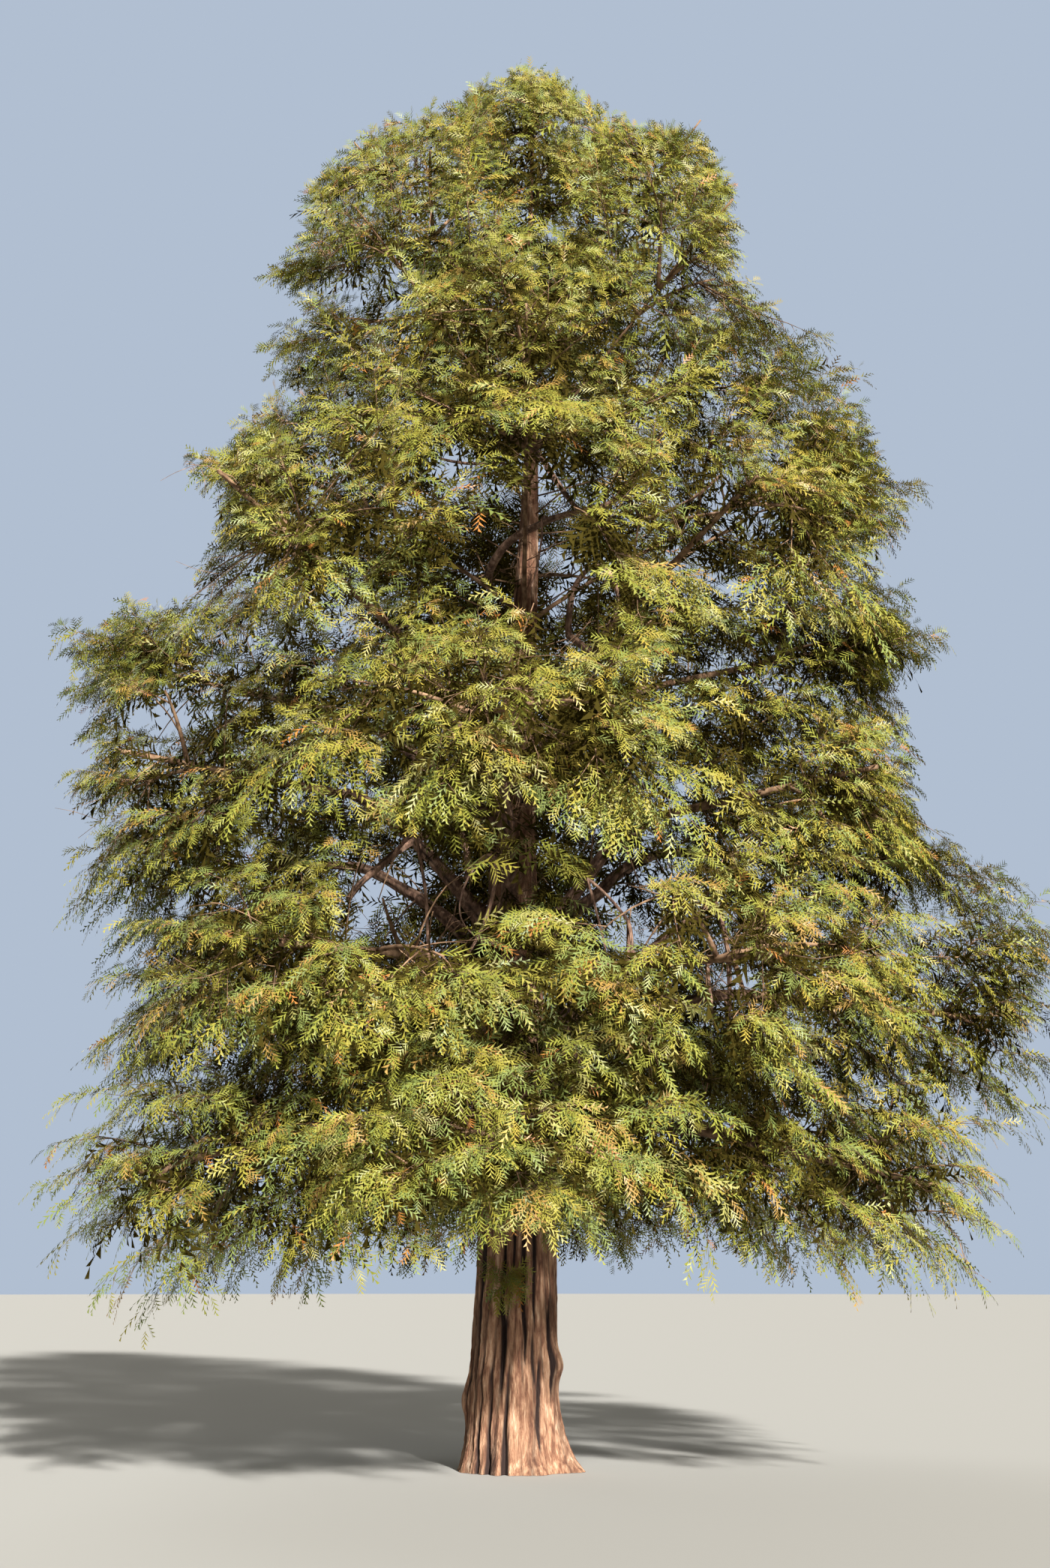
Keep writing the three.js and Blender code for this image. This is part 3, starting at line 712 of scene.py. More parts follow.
PLUMES = [
    # where the pointed ends of branches are seen to stand out from the crown, at the trunk's distance
    (-4.40, 7.62), (-3.75, 7.85), (-4.25, 6.95), (-4.15, 6.20), (-3.30, 9.42), (-2.65, 9.85),
    (-2.45, 10.60), (-2.45, 11.40), (-2.45, 12.25), (-2.00, 12.75), (-1.50, 13.20), (-0.90, 13.55),
    (-0.50, 13.80), (0.18, 13.98), (0.50, 13.82), (1.10, 13.25), (1.90, 13.20), (2.25, 12.45),
    (2.45, 11.35), (2.60, 11.05), (3.10, 10.70), (3.45, 10.35), (3.05, 10.20), (3.40, 9.80),
    (3.55, 9.40), (3.98, 9.08), (3.75, 8.65), (3.85, 8.10), (3.65, 7.75), (4.15, 7.55),
    (3.50, 7.10), (3.70, 6.55), (3.70, 6.10), (3.65, 5.70), (4.10, 5.48), (4.50, 5.25),
    (4.90, 5.05), (4.90, 4.60),
]
GAPS = [
    # x and z of the middle, half width and half height, at the trunk's distance, and how far back they go
    (0.38, 8.60, 0.42, 0.95, 0.5),
    (-0.97, 5.02, 0.66, 0.60, 0.4),
    (1.00, 4.95, 0.45, 0.48, 0.4),
    (1.88, 4.25, 0.20, 0.55, -1.9),
]
SKY_GAPS = [
    # x and z of the middle, half width and half height, where the sky shows right through the crown
    (-1.07, 5.10, 0.32, 0.16), (0.85, 5.04, 0.15, 0.18), (-0.62, 9.35, 0.24, 0.24),
    (0.58, 8.05, 0.18, 0.28), (-3.60, 8.50, 0.50, 0.40), (-3.30, 6.72, 0.42, 0.22),
    (1.33, 10.98, 0.16, 0.28), (1.55, 10.45, 0.14, 0.20), (1.97, 10.00, 0.22, 0.14),
    (-1.62, 11.24, 0.18, 0.20), (-1.04, 9.96, 0.14, 0.14), (2.12, 8.56, 0.16, 0.12),
]

masses.append(SimpleNamespace(
    name="leader", tier=None, key=len(masses) + 1, turn=0, out=UP,
    axes=np.array([[0, 0, 1.0], [0, 1.0, 0], [-1.0, 0, 0]]),
    half=np.array([LEADER.thick, LEADER.reach, LEADER.reach]), centre=trunk_axis(LEADER.height),
))
centres = np.array([m.centre for m in masses])


def seen_from_eye(point):
    """Where a point is seen from the photo's place: x and z at the trunk's distance."""
    x, _, z = EYE - (point - EYE) * EYE[1] / (point[1] - EYE[1])
    return x, z


def seen_in(gap, point):
    """Whether a point lies in a gap. The gaps widen straight away from where the photo was taken."""
    x, z = seen_from_eye(point)
    return math.hypot((x - gap[0]) / gap[2], (z - gap[1]) / gap[3]) < 1


def shows_sky(point):
    return any(seen_in(gap, point) for gap in SKY_GAPS)


def stays_open(point):
    return shows_sky(point) or any(seen_in(gap, point) and point[1] < gap[4] for gap in GAPS)


def closes_gap(root, tip):
    return stays_open(tip) or stays_open((root + tip) / 2)


def in_crown(point, margin=NEEDLES_REACH):
    """Whether a point lies near the solids, between the lowest sprays and the dome, in the seen outline."""
    near = np.all(point > np.array(cad_box[0]) - PROUD) and np.all(point < np.array(cad_box[1]) + PROUD)
    away = math.hypot(*(point - trunk_axis(min(point[2], WOOD_TOP)))[:2])
    x, z = seen_from_eye(point)
    heights, left, right = np.array(OUTLINE_SEEN).T
    z += 2 * margin
    inside = np.interp(z, heights, left) + margin < x < np.interp(z, heights, right) - margin
    lowest = np.interp(x, *np.array(LOWEST_SEEN).T)
    return near and inside and lowest < point[2] < DOME.top - DOME.falls * away**2 - 2 * margin


def outward(points):
    """Level directions away from the trunk."""
    away = points - trunk_axis(np.clip(points[..., 2], 0, WOOD_TOP))
    return unit(away * [1, 1, 0])


def share_out(mass, point):
    """How far out a point is in a mass: 0 in its middle and 1 on its skin, fuller than an ellipsoid's."""
    away = np.abs(mass.axes @ (point - mass.centre) / mass.half * SPREAD)
    return float((away**FULLNESS).sum() ** (1 / FULLNESS))


def own_room(mass, point):
    """How far a point lies inside a mass's own share of the space, where planes part it from the others."""
    stretch = np.array([1, 1, STACKED])
    away = ((point - centres) * stretch) ** 2
    apart = np.linalg.norm((centres - mass.centre) * stretch, axis=1)
    own = float(away[mass.key - 1].sum())
    others = np.arange(len(masses)) != mass.key - 1
    return float(np.min((away.sum(axis=1)[others] - own) / (2 * apart[others])))


def mass_round(point):
    return masses[int(np.argmin(np.linalg.norm((point - centres) * [1, 1, STACKED], axis=1)))]


def directions(count, turn):
    """Even directions all round, as shares of a mass's half sizes, less those that face the trunk."""
    found = []
    for i in range(count):
        z = 1 - (2 * i + 1) / count
        flat = math.sqrt(1 - z * z)
        x = flat * math.cos(i * GOLDEN + turn)
        if x > FACES_TRUNK:
            found.append(np.array([x, flat * math.sin(i * GOLDEN + turn), z]))
    return found


def share_to_skin(mass, way):
    """How much of the way from a mass's middle to its skin lies in its own space."""
    share = float((np.abs(way * SPREAD) ** FULLNESS).sum() ** (-1 / FULLNESS))
    while share > 0.1:
        point = point_in(mass, *(way * share))
        if own_room(mass, point) > WOOD_MAY_CROSS and in_crown(point):
            break
        share *= 0.95
    return share


def point_on(path, share):
    place = np.clip(share, 0, 1) * (len(path) - 1)
    low = int(min(place, len(path) - 2))
    return path[low] * (1 - place + low) + path[low + 1] * (place - low)


def bud_near(woods, goal):
    """A twig leaves older wood a little behind the place nearest to the point that it grows to."""
    best = None
    for wood in woods:
        for share in np.arange(wood.bare, 1.001, BUD.apart):
            distance = np.linalg.norm(point_on(wood.path, share) - goal)
            if best is None or distance < best[0]:
                best = (distance, wood, max(wood.bare, share - BUD.behind))
    _, wood, share = best
    return point_on(wood.path, share)


def stem_of(mass):
    end = point_in(mass, STEM.end, 0, 0)
    bare = STEM.bare
    if mass.tier is None:
        girth = LEADER.stem
        controls = [trunk_axis(WOOD_TOP - LEADER.sunk), end]
    elif mass.tier.name in BOUGH_TIERS:
        girth = mass.tier.girth * (1 - BOUGH.thins)
        controls = [mass.root - STEM.sunk * mass.axes[0], mass.centre, end]
    else:
        girth = mass.tier.girth * (1 - BOUGH.thins)
        controls = [*mass.controls[:2], point_in(mass, STEM.bend, 0, 0), end]
        bare = STEM.bare_on_trunk
    return SimpleNamespace(path=even_path(controls), bare=bare, girth=girth, tip=girth * (1 - STEM.thins))


def twigs_of(mass):
    """Twigs from the stem towards the skin of the mass."""
    twigs = []
    for i, way in enumerate(directions(TWIG.count, mass.key * 2)):
        goal = point_in(mass, *(way * share_to_skin(mass, way) * TWIG.reach))
        bud = bud_near([mass.stem], goal)
        span = np.linalg.norm(goal - bud)
        if span < TWIG.shortest:
            continue
        arch = TWIG.arch * span * (UP + TWIG.aside * chance(mass.key, 30 + i) * mass.axes[1])
        path = even_path([bud, (bud + goal) / 2 + arch, goal])
        twigs.append(SimpleNamespace(path=path, bare=TWIG.bare, girth=TWIG.girth, tip=TWIG.tip))
    return twigs


def branch_to(path, end, in_skin=True, plume=False, full=False):
    return SimpleNamespace(
        path=path, girth=BRANCH.girth, tip=BRANCH.tip, end=end, in_skin=in_skin, plume=plume, full=full)


def branches_of(mass):
    """Branches from the stem and the twigs towards the skin of the mass, on all sides."""
    branches = []
    many = next(count for count, below in BRANCHES if mass.centre[2] < below)
    for i, way in enumerate(directions(many, mass.key)):
        goal = point_in(mass, *(way * share_to_skin(mass, way) * BRANCH.reach))
        bud = bud_near([mass.stem, *mass.twigs], goal)
        span = np.linalg.norm(goal - bud)
        if span < BRANCH.shortest or shows_sky(goal):
            continue
        bow = span * (BRANCH.rise * UP + BRANCH.aside * chance(mass.key, 60 + i) * mass.axes[1])
        path = even_path([bud, (bud + goal) / 2 + bow, goal], BRANCH.points)
        longer = BRANCH_END.share if goal[2] < BRANCH_END.top else BRANCH_END.at_top
        longer = longer + BRANCH_END.uneven * chance(mass.key, 90 + i)
        onward = unit(way + BRANCH_END.onward)
        branches.append(branch_to(path, point_in(mass, *(onward * share_to_skin(mass, onward) * longer))))
    return branches


def branches_inside(mass):
    """Branches from the bough on its way to the mass, so that the inside of the crown isn't bare."""
    branches = []
    for i in range(INSIDE.count):
        bud = point_on(mass.path, INSIDE.first + (INSIDE.last - INSIDE.first) * i / (INSIDE.count - 1))
        round_it = i * GOLDEN * INSIDE.turn + mass.key
        heading = mass.axes[1] * math.cos(round_it) + UP * math.sin(round_it)
        heading = unit(heading + INSIDE.out * mass.out)
        span = INSIDE.length * (1 + INSIDE.uneven * chance(mass.key, 160 + i))
        goal = bud + heading * span
        path = even_path([bud, (bud + goal) / 2 + INSIDE.arch * span * UP, goal], BRANCH.points)
        branches.append(branch_to(path, goal + heading * INSIDE.spray, in_skin=False))
    return branches


def add_plume(mass, bud, tip, full=True, bare=PLUME.bare):
    """A long branch out to a tip, pulled back until that lies in the crown, unless it would close a gap."""
    while not in_crown(tip, 0):
        tip = tip + 0.05 * (bud - tip)
    if not closes_gap(bud, tip):
        path = even_path([bud, (bud + tip) / 2 - PLUME.sags * UP, bud + bare * (tip - bud)], PLUME.points)
        mass.branches.append(branch_to(path, tip, plume=True, full=full))


for mass in masses:
    mass.stem = stem_of(mass)
    mass.twigs = twigs_of(mass)
    mass.branches = branches_of(mass)
    if mass.tier is not None and mass.tier.name in BOUGH_TIERS:
        mass.branches += branches_inside(mass)
for number, (x, z) in enumerate(PLUMES):
    seen = np.array([x, 0, z])
    for side in (-1, 1):
        depth = PLUME.usual + PLUME.varies * chance(number, 7)
        tip = seen + (seen - EYE) * PLUME.depth * side * depth / -EYE[1]
        mass = mass_round(tip)
        if z < PLUME.pairs_below or side > 0:
            add_plume(mass, bud_near([mass.stem, *mass.twigs], tip), tip)
tier_heights = [tier["height"] for tier in TIERS]
tier_reaches = [tier["reach"] for tier in TIERS]
for level, height in enumerate(HANGING.heights):
    for number in range(HANGING.count):
        place = number + 0.5 * (level % 2) + HANGING.turn * chance(number, level)
        reach = HANGING.share * np.interp(height, tier_heights, tier_reaches)
        reach = reach * (1 + HANGING.varies * chance(level, number))
        start = trunk_axis(height + HANGING.height * chance(number, 10 + level))
        tip = start + reach * compass(360 / HANGING.count * place)
        mass = mass_round(tip + 0.5 * UP)
        add_plume(mass, bud_near([mass.stem, *mass.twigs], tip), tip, full=False, bare=HANGING.bare)
for number in range(TRUNK_SHOOTS.count):
    height = TRUNK_SHOOTS.low + (TRUNK_SHOOTS.high - TRUNK_SHOOTS.low) * (number + 0.5) / TRUNK_SHOOTS.count
    heading = unit(compass(math.degrees(number * GOLDEN)) + TRUNK_SHOOTS.rise * UP)
    length = TRUNK_SHOOTS.share * math.sqrt((DOME.top - height) / DOME.falls)
    length = length * (1 + TRUNK_SHOOTS.varies * chance(number, 8))
    bud = trunk_axis(height)
    add_plume(mass_round(bud + length * heading), bud, bud + length * heading, full=False)


def bare_twigs(mass, chances):
    """Dead twigs from a mass's bough and stem, kinked and forked."""
    found = []
    older = [mass.stem]
    if mass.tier is not None:
        older.insert(0, SimpleNamespace(path=mass.path, bare=BARE.first))
    tangled = BARE.in_front if mass.out[1] < BARE.front and mass.centre[2] < BARE.below else 1
    for _ in range(BARE.count * tangled):
        wood = older[chances.integers(len(older))]
        bud = point_on(wood.path, wood.bare + (1 - wood.bare) * chances.uniform())
        heading = unit(chances.uniform(-1, 1, 3) + BARE.onward * mass.axes[0] + BARE.hang * UP)
        length = BARE.length * (1 + BARE.varies * chances.uniform(-1, 1))
        end = bud + length * heading - BARE.sag * length * UP
        if shows_sky(end) or shows_sky((bud + end) / 2) or not in_crown(end):
            continue
        bends = []
        for share in BARE.kinks:
            bends.append(bud + share * length * heading + BARE.kinked * length * chances.uniform(-1, 1, 3))
        path = even_path([bud, *bends, end], BARE.points)
        found.append(SimpleNamespace(path=path, girth=BARE.girth, tip=BARE.tip))
        for _ in range(FORK.count):
            fork = point_on(path, chances.uniform(FORK.first, FORK.last))
            side = unit(heading + FORK.aside * chances.uniform(-1, 1, 3))
            bend = fork + FORK.bend * length * side + FORK.kinked * length * chances.uniform(-1, 1, 3)
            finer = even_path([fork, bend, fork + FORK.length * length * side], FORK.points)
            found.append(SimpleNamespace(path=finer, girth=FORK.girth * BARE.girth, tip=FORK.tip))
    return found


for mass in masses:
    mass.bare = bare_twigs(mass, np.random.default_rng(900 + mass.key))

SPRAYS = [
    # where on its branch a spray starts, and how long it is for the branch's own end
    (1.0, 1.0),
    (0.97, 0.88),
    (0.86, 0.86),
    (0.72, 0.84),
    (0.54, 0.80),
]
PLUME_SPRAYS = [(1.0 - 0.075 * k, 1.0 + 0.10 * k) for k in range(10)]
SPRAY = SimpleNamespace(
    turn=48, upright_turn=27, turn_varies=14, side_varies=0.16, least=0.34, shortest=0.18, slimmer=0.8,
    tries=8, shrinks=0.85, deep_below=0.6, faces_out=0.7, bends=0.06, tip_falls=1.2)
UPRIGHT = ("crest", "leader")
SIDE_FROND = SimpleNamespace(
    count=3, size=0.58, first=0.10, spread=0.62, moved=0.06, angle=48, closes=12, angle_varies=12,
    lifts=0.2, shorter=0.35, varies=0.25, bend=0.55, end=0.85)
AXIS = SimpleNamespace(girth=0.0050, side_share=0.7, end=0.8)
BURIED = SimpleNamespace(depth=1.20, above=2.3, spacing=2.8, larger=1.5)
HABITS = {
    # for each tier, how much its sprays lift, droop and arch
    "skirt": (-0.05, 0.34, 0.14),
    "low": (0.0, 0.34, 0.08),
    "waist": (0.12, 0.34, 0.03),
    "shoulder": (0.25, 0.30, -0.04),
    "high": (0.45, 0.28, -0.05),
    "upper": (0.6, 0.25, -0.05),
    "crest": (0.8, 0.22, -0.05),
    "leader": (0.8, 0.2, 0.0),
}
SPRIG = SimpleNamespace(
    # shoots on the front of the trunk
    root=(-0.06, -0.34, 1.56),
    tips=[
        (-0.20, -0.50, 1.72),
        (0.06, -0.50, 1.70),
        (-0.07, -0.56, 1.62),
        (-0.11, -0.50, 1.42),
        (0.04, -0.48, 1.52),
    ],
)


def facing(along, points):
    """Foliage faces up and outwards, square to where it grows."""
    over = SPRAY.faces_out * outward(points) + UP
    return unit(over - along * (over * along).sum(-1, keepdims=True))


def sprays_of(mass, lift):
    """Root, tip and depth of the sprays of a mass: one at each branch's end, others round it further back."""
    found = []
    upright = mass.name.split("_")[0] in UPRIGHT
    spray_turn = SPRAY.upright_turn if upright else SPRAY.turn
    for i, branch in enumerate(mass.branches):
        tip = branch.end
        along = tip - branch.path[-1]
        length = np.linalg.norm(along)
        along = unit(unit(along) + (0 if branch.plume else lift) * UP)
        over = facing(along, tip)
        side = np.cross(along, over)
        for k, (share, size) in enumerate(PLUME_SPRAYS if branch.full else SPRAYS):
            turned = math.radians(spray_turn + SPRAY.turn_varies * chance(mass.key + i, 120 + k)) * (k > 0)
            round_it = (k % 2 + SPRAY.side_varies * chance(mass.key + i, 140 + k)) * math.pi
            cross = side * math.cos(round_it) + over * math.sin(round_it)
            heading = along * math.cos(turned) + cross * math.sin(turned)
            root = point_on(branch.path, share)
            size = max(size * length, SPRAY.least) if k else length
            size *= SPRAY.slimmer if k and branch.full and upright else 1
            for _ in range(SPRAY.tries):
                tip = root + heading * size
                clear = in_crown(tip, 0 if branch.full and k == 0 else NEEDLES_REACH)
                clear = clear and (branch.plume or own_room(mass, tip) > SPRAY_MAY_CROSS)
                if clear and (k == 0 or branch.plume or share_out(mass, tip) < 1.0 or not branch.in_skin):
                    break
                size *= SPRAY.shrinks
            if size > SPRAY.shortest and not closes_gap(root, tip):
                # a deep spray may later take the tint of painted shade
                deep = not branch.in_skin or share < SPRAY.deep_below
                found.append((root, tip, np.full(3, deep, float)))
    return found


def is_buried(points):
    """Whether points lie so far inside the crown that its outer foliage hides them."""
    away = points - trunk_axis(np.clip(points[:, 2], 0, WOOD_TOP))
    reach = np.interp(points[:, 2], [*tier_heights, DOME.top], [*tier_reaches, 0])
    return (np.hypot(away[:, 0], away[:, 1]) < reach - BURIED.depth) & (points[:, 2] > BURIED.above)


def point_along(curve, t):
    """Points at t, and the way on from there, of curves through a root, a bend and a tip."""
    a, b, c = curve
    return a * (1 - t) ** 2 + 2 * b * t * (1 - t) + c * t * t, unit((b - a) * (1 - t) + (c - b) * t)


def side_fronds(curve, chances, hang):
    """The lesser fronds that fan out from a spray's own axis, first to one side and then to the other."""
    lengths = np.linalg.norm(curve[2] - curve[0], axis=1, keepdims=True)
    made = []
    for i in range(SIDE_FROND.count):
        t = SIDE_FROND.first + SIDE_FROND.spread * i / (SIDE_FROND.count - 1)
        t = t + SIDE_FROND.moved * chances.uniform(-1, 1, lengths.shape)
        roots, along = point_along(curve, t)
        over = facing(along, roots)
        side = np.cross(along, over) * (1 if i % 2 else -1)
        turned = SIDE_FROND.angle - SIDE_FROND.closes * t
        angle = np.radians(turned + SIDE_FROND.angle_varies * chances.uniform(-1, 1, lengths.shape))
        lifted = SIDE_FROND.lifts * over * chances.uniform(-1, 1, lengths.shape)
        heading = unit(along * np.cos(angle) + side * np.sin(angle) + lifted)
        size = lengths * SIDE_FROND.size * (1 - SIDE_FROND.shorter * t)
        size = size * (1 + SIDE_FROND.varies * chances.uniform(-1, 1, lengths.shape))
        bends = roots + heading * size * SIDE_FROND.bend
        tips = roots + heading * size * SIDE_FROND.end - UP * size * hang * SIDE_FROND.end
        made.append(np.stack([roots, bends, tips]))
    return np.concatenate(made, axis=1)


def spikes(curve, girth):
    """Straight three-sided spikes from the roots of curves to near their tips."""
    roots, along = point_along(curve, 0.0)
    tips, _ = point_along(curve, AXIS.end)
    first = unit(np.cross(along, UP + 0.01))
    second = np.cross(along, first)
    turn = np.arange(3) * TAU / 3
    ring = first[:, None] * np.cos(turn)[:, None] + second[:, None] * np.sin(turn)[:, None]
    points = np.concatenate([roots[:, None] + girth * ring, tips[:, None]], axis=1)
    faces = np.array([[0, 1, 3], [1, 2, 3], [2, 0, 3], [2, 1, 0]])
    return points.reshape(-1, 3), (np.arange(len(roots))[:, None, None] * 4 + faces).reshape(-1, 3)


def tubes(limbs, rings, sides):
    """Corners and faces of closed round wood, each limb in so many rings and thinner to its tip."""
    paths = np.array([limb.path[np.linspace(0, len(limb.path) - 1, rings).astype(int)] for limb in limbs])
    share = np.linspace(0, 1, rings)
    girths = np.array([limb.girth + (limb.tip - limb.girth) * share for limb in limbs])
    _, first, second = frames_along(paths)
    turn = np.arange(sides) * TAU / sides
    ring = first[:, :, None] * np.cos(turn)[:, None] + second[:, :, None] * np.sin(turn)[:, None]
    points = (paths[:, :, None] + ring * girths[:, :, None, None]).reshape(-1, 3)
    here = np.arange(sides)
    step = np.stack([here, (here + 1) % sides, (here + 1) % sides + sides, here + sides], axis=-1)
    wall = np.arange(len(limbs) * rings).reshape(len(limbs), rings)[:, :-1, None, None] * sides + step
    first_ring = np.arange(len(limbs))[:, None] * rings * sides
    caps = np.concatenate([first_ring + here[::-1], first_ring + (rings - 1) * sides + here])
    return points, wall.reshape(-1, 4), caps


def joined_mesh(name, blocks, material_of=None):
    """One object from blocks of corners and faces; faces come in arrays that each have one corner count."""
    points, corners, sizes, base = [], [], [], 0
    for block in blocks:
        points.append(block[0])
        for faces in block[1:]:
            corners.append((faces + base).ravel())
            sizes.append(np.full(len(faces), faces.shape[1]))
        base += len(block[0])
    points, corners, sizes = (np.concatenate(p) for p in (points, corners, sizes))
    mesh = bpy.data.meshes.new(name)
    mesh.vertices.add(len(points))
    mesh.vertices.foreach_set("co", np.ascontiguousarray(points, np.float32).ravel())
    mesh.loops.add(len(corners))
    mesh.loops.foreach_set("vertex_index", corners.astype(np.int32))
    mesh.polygons.add(len(sizes))
    mesh.polygons.foreach_set("loop_start", np.concatenate([[0], np.cumsum(sizes)[:-1]]).astype(np.int32))
    if material_of is not None:
        mesh.polygons.foreach_set("material_index", material_of.astype(np.int32))
    mesh.update(calc_edges=True)
    made = bpy.data.objects.new(name, mesh)
    bpy.context.collection.objects.link(made)
    return made


twig_material = mottled_material(
    "twig_bark", scale=14, detail=3, tones=[(0.35, (0.100, 0.050, 0.024)), (0.65, (0.330, 0.205, 0.120))],
    rough=0.88)
grown_tiers = []
for name, (lift, droop, arch) in HABITS.items():
    group = [m for m in masses if m.name.startswith(name)]
    chances = np.random.default_rng(400 + len(name) * 7 + len(group))
    ends = [spray for m in group for spray in sprays_of(m, lift)]
    if name == "skirt":
        ends += [(SPRIG.root, tip, (0, 0, 0)) for tip in SPRIG.tips]
    ends = np.array(ends)
    starts, tips, deep = ends[:, 0], ends[:, 1], ends[:, 2, 0]
    lengths = np.linalg.norm(tips - starts, axis=1, keepdims=True)
    bends = (starts + tips) / 2 + UP * lengths * arch
    bends = bends + SPRAY.bends * lengths * chances.uniform(-1, 1, bends.shape)
    tips = tips - UP * lengths * arch * SPRAY.tip_falls
    main = np.stack([starts, bends, tips])
    lesser = side_fronds(main, chances, droop)
    grown_tiers.append(SimpleNamespace(
        name=name, group=group, chances=chances, droop=droop, deep=deep,
        curves=np.concatenate([main, lesser], axis=1),
    ))
    blocks = [
        tubes([m.stem for m in group], 24, 8),
        tubes([twig for m in group for twig in m.twigs], 9, 5),
        tubes([branch for m in group for branch in m.branches], 5, 3),
        tubes([twig for m in group for twig in m.bare], 5, 3),
        spikes(main, AXIS.girth),
        spikes(lesser[:, ~is_buried(lesser[2])], AXIS.side_share * AXIS.girth),
    ]
    wood = joined_mesh(f"twigs_{name}", blocks)
    wood.data.materials.append(twig_material)
    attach(wood, "root")

# Needles: the leafy sprays of the crown. Along each frond stand shoots in two rows that droop at their tips,
# and each shoot bears flat pointed needles left and right in turn, larger than life. A frond takes one tint,
# bluish low down; gold is likelier towards +X, where the sun falls, as painted sunlight, and bluish towards
# -X as painted shade. Fronds deep in the crown mostly take a near-black tint, which is painted shade and
# partly the darker colour of older needles.
ROW = 4
PER_SHOOT = 4 * ROW + 1
NEEDLE = SimpleNamespace(sweep=1.0, dips=0.2)
NEEDLE_LENGTHS = np.array([0.75, 0.9, 1.0, 1.0, 0.95, 0.85, 0.7, 0.5])
SHOOT = SimpleNamespace(
    spacing=0.060, fewest=4, first=0.08, length=0.164, width=0.084, angle=62, closes=34, lifts=0.10,
    at_foot=0.62, in_middle=0.75, droops_most=1.4, up=0.35, over=0.4, droop_shortens=0.3)
FROND_LENGTH = SimpleNamespace(usual=0.6, least=0.75, most=1.15)
SHOOT_VARIES = SimpleNamespace(angle=24, lifts=0.42, length=0.38, droop=0.6, width=0.15, face=0.75)
INNER = SimpleNamespace(
    # shoots on the inner wood, mostly in the dark tint of painted shade, and the room that each needs above,
    # below and outwards
    spacing=0.080, airy=2.2, first=0.15, length=0.31, width=0.20, onward=0.5, up=0.6, sag=0.5,
    above=1, below=1.8, outwards=1.3)
INNER_VARIES = SimpleNamespace(face=0.5, length=0.3, width=0.2, sag=0.3)
AIRY = ("upper", "crest", "leader")
LIT = SimpleNamespace(rough=0.47, specular=0.36)
DULL = SimpleNamespace(rough=0.9, specular=0.05)
TINTS = {
    # linear base colour, how common it is, and how much more so low down, towards +X and towards -X; the lean
    # of gold to +X, where the sun falls, is painted sunlight, and that of bluish to -X painted shade
    "olive": ((0.252, 0.228, 0.036), (0.31, 0.0, 0.0, 0.0)),
    "moss": ((0.204, 0.213, 0.034), (0.30, 0.4, 0.0, 0.0)),
    "bluish": ((0.150, 0.186, 0.048), (0.14, 0.9, 0.0, 0.9)),
    "golden": ((0.298, 0.234, 0.038), (0.09, -0.7, 1.3, -1.0)),
    "fresh": ((0.258, 0.246, 0.076), (0.09, -0.7, 0.0, 0.0)),
    "bronze": ((0.286, 0.178, 0.046), (0.07, 0.9, 0.0, 0.0)),
}
# near-black tint for foliage deep in the crown: painted shade, and partly the darker colour of older needles
SHADED_COLOUR = (0.040, 0.031, 0.005)
RUST_COLOUR = (0.360, 0.150, 0.036)
MOSS = 1
SHADED = len(TINTS)
RUST = len(TINTS) + 1
SHADED_ABOVE = SimpleNamespace(airy=0.55, dense=0.25)
STRAY = SimpleNamespace(share=0.25, tints=3, rust_above=0.987)
INNER_MOSS_BELOW = SimpleNamespace(airy=0, dense=-0.9)


def plain_material(name, colour, rough, specular=0.5):
    made, _, shader = new_material(name)
    shader.inputs["Base Color"].default_value = (*colour, 1)
    shader.inputs["Roughness"].default_value = rough
    shader.inputs["Specular IOR Level"].default_value = specular
    return made


needle_materials = []
for name, (colour, _) in TINTS.items():
    needle_materials.append(plain_material(f"needles_{name}", colour, LIT.rough, LIT.specular))
needle_materials.append(plain_material("needles_shaded", SHADED_COLOUR, DULL.rough, DULL.specular))
needle_materials.append(plain_material("needles_rust", RUST_COLOUR, LIT.rough, LIT.specular))


def shoots_with_needles(roots, headings, faces, lengths, widths, droops):
    """Flat pointed needles to the left and right in turn, along shoots that bend down under their weight."""
    places = np.arange(2 * ROW + 1)
    t = places[None, :, None] / (2 * ROW)
    size = lengths[:, None, None]
    sag = droops[:, None, None]
    axis = roots[:, None] + size * (t * headings[:, None] - sag * t * t * UP)
    heading = unit(headings[:, None] - 2 * sag * t[:, :-1] * UP)
    face = unit(faces[:, None] - heading * (faces[:, None] * heading).sum(-1, keepdims=True))
    side = np.cross(heading, face) * np.where(places[:-1] % 2, -1, 1)[None, :, None]
    reach = widths[:, None, None] / 2 * NEEDLE_LENGTHS[None, :, None]
    tips = (axis[:, :-1] + axis[:, 1:]) / 2 + reach * (NEEDLE.sweep * heading + side - NEEDLE.dips * face)
    points = np.concatenate([axis, tips], axis=1)
    left = np.stack([places[0:-1:2], places[1::2], places[0:-1:2] + 2 * ROW + 1], axis=-1)
    right = np.stack([places[1::2], places[1::2] + 2 * ROW + 1, places[2::2]], axis=-1)
    needles = np.arange(len(roots))[:, None, None] * PER_SHOOT + np.concatenate([left, right])
    return points.reshape(-1, 3), needles.reshape(-1, 3)


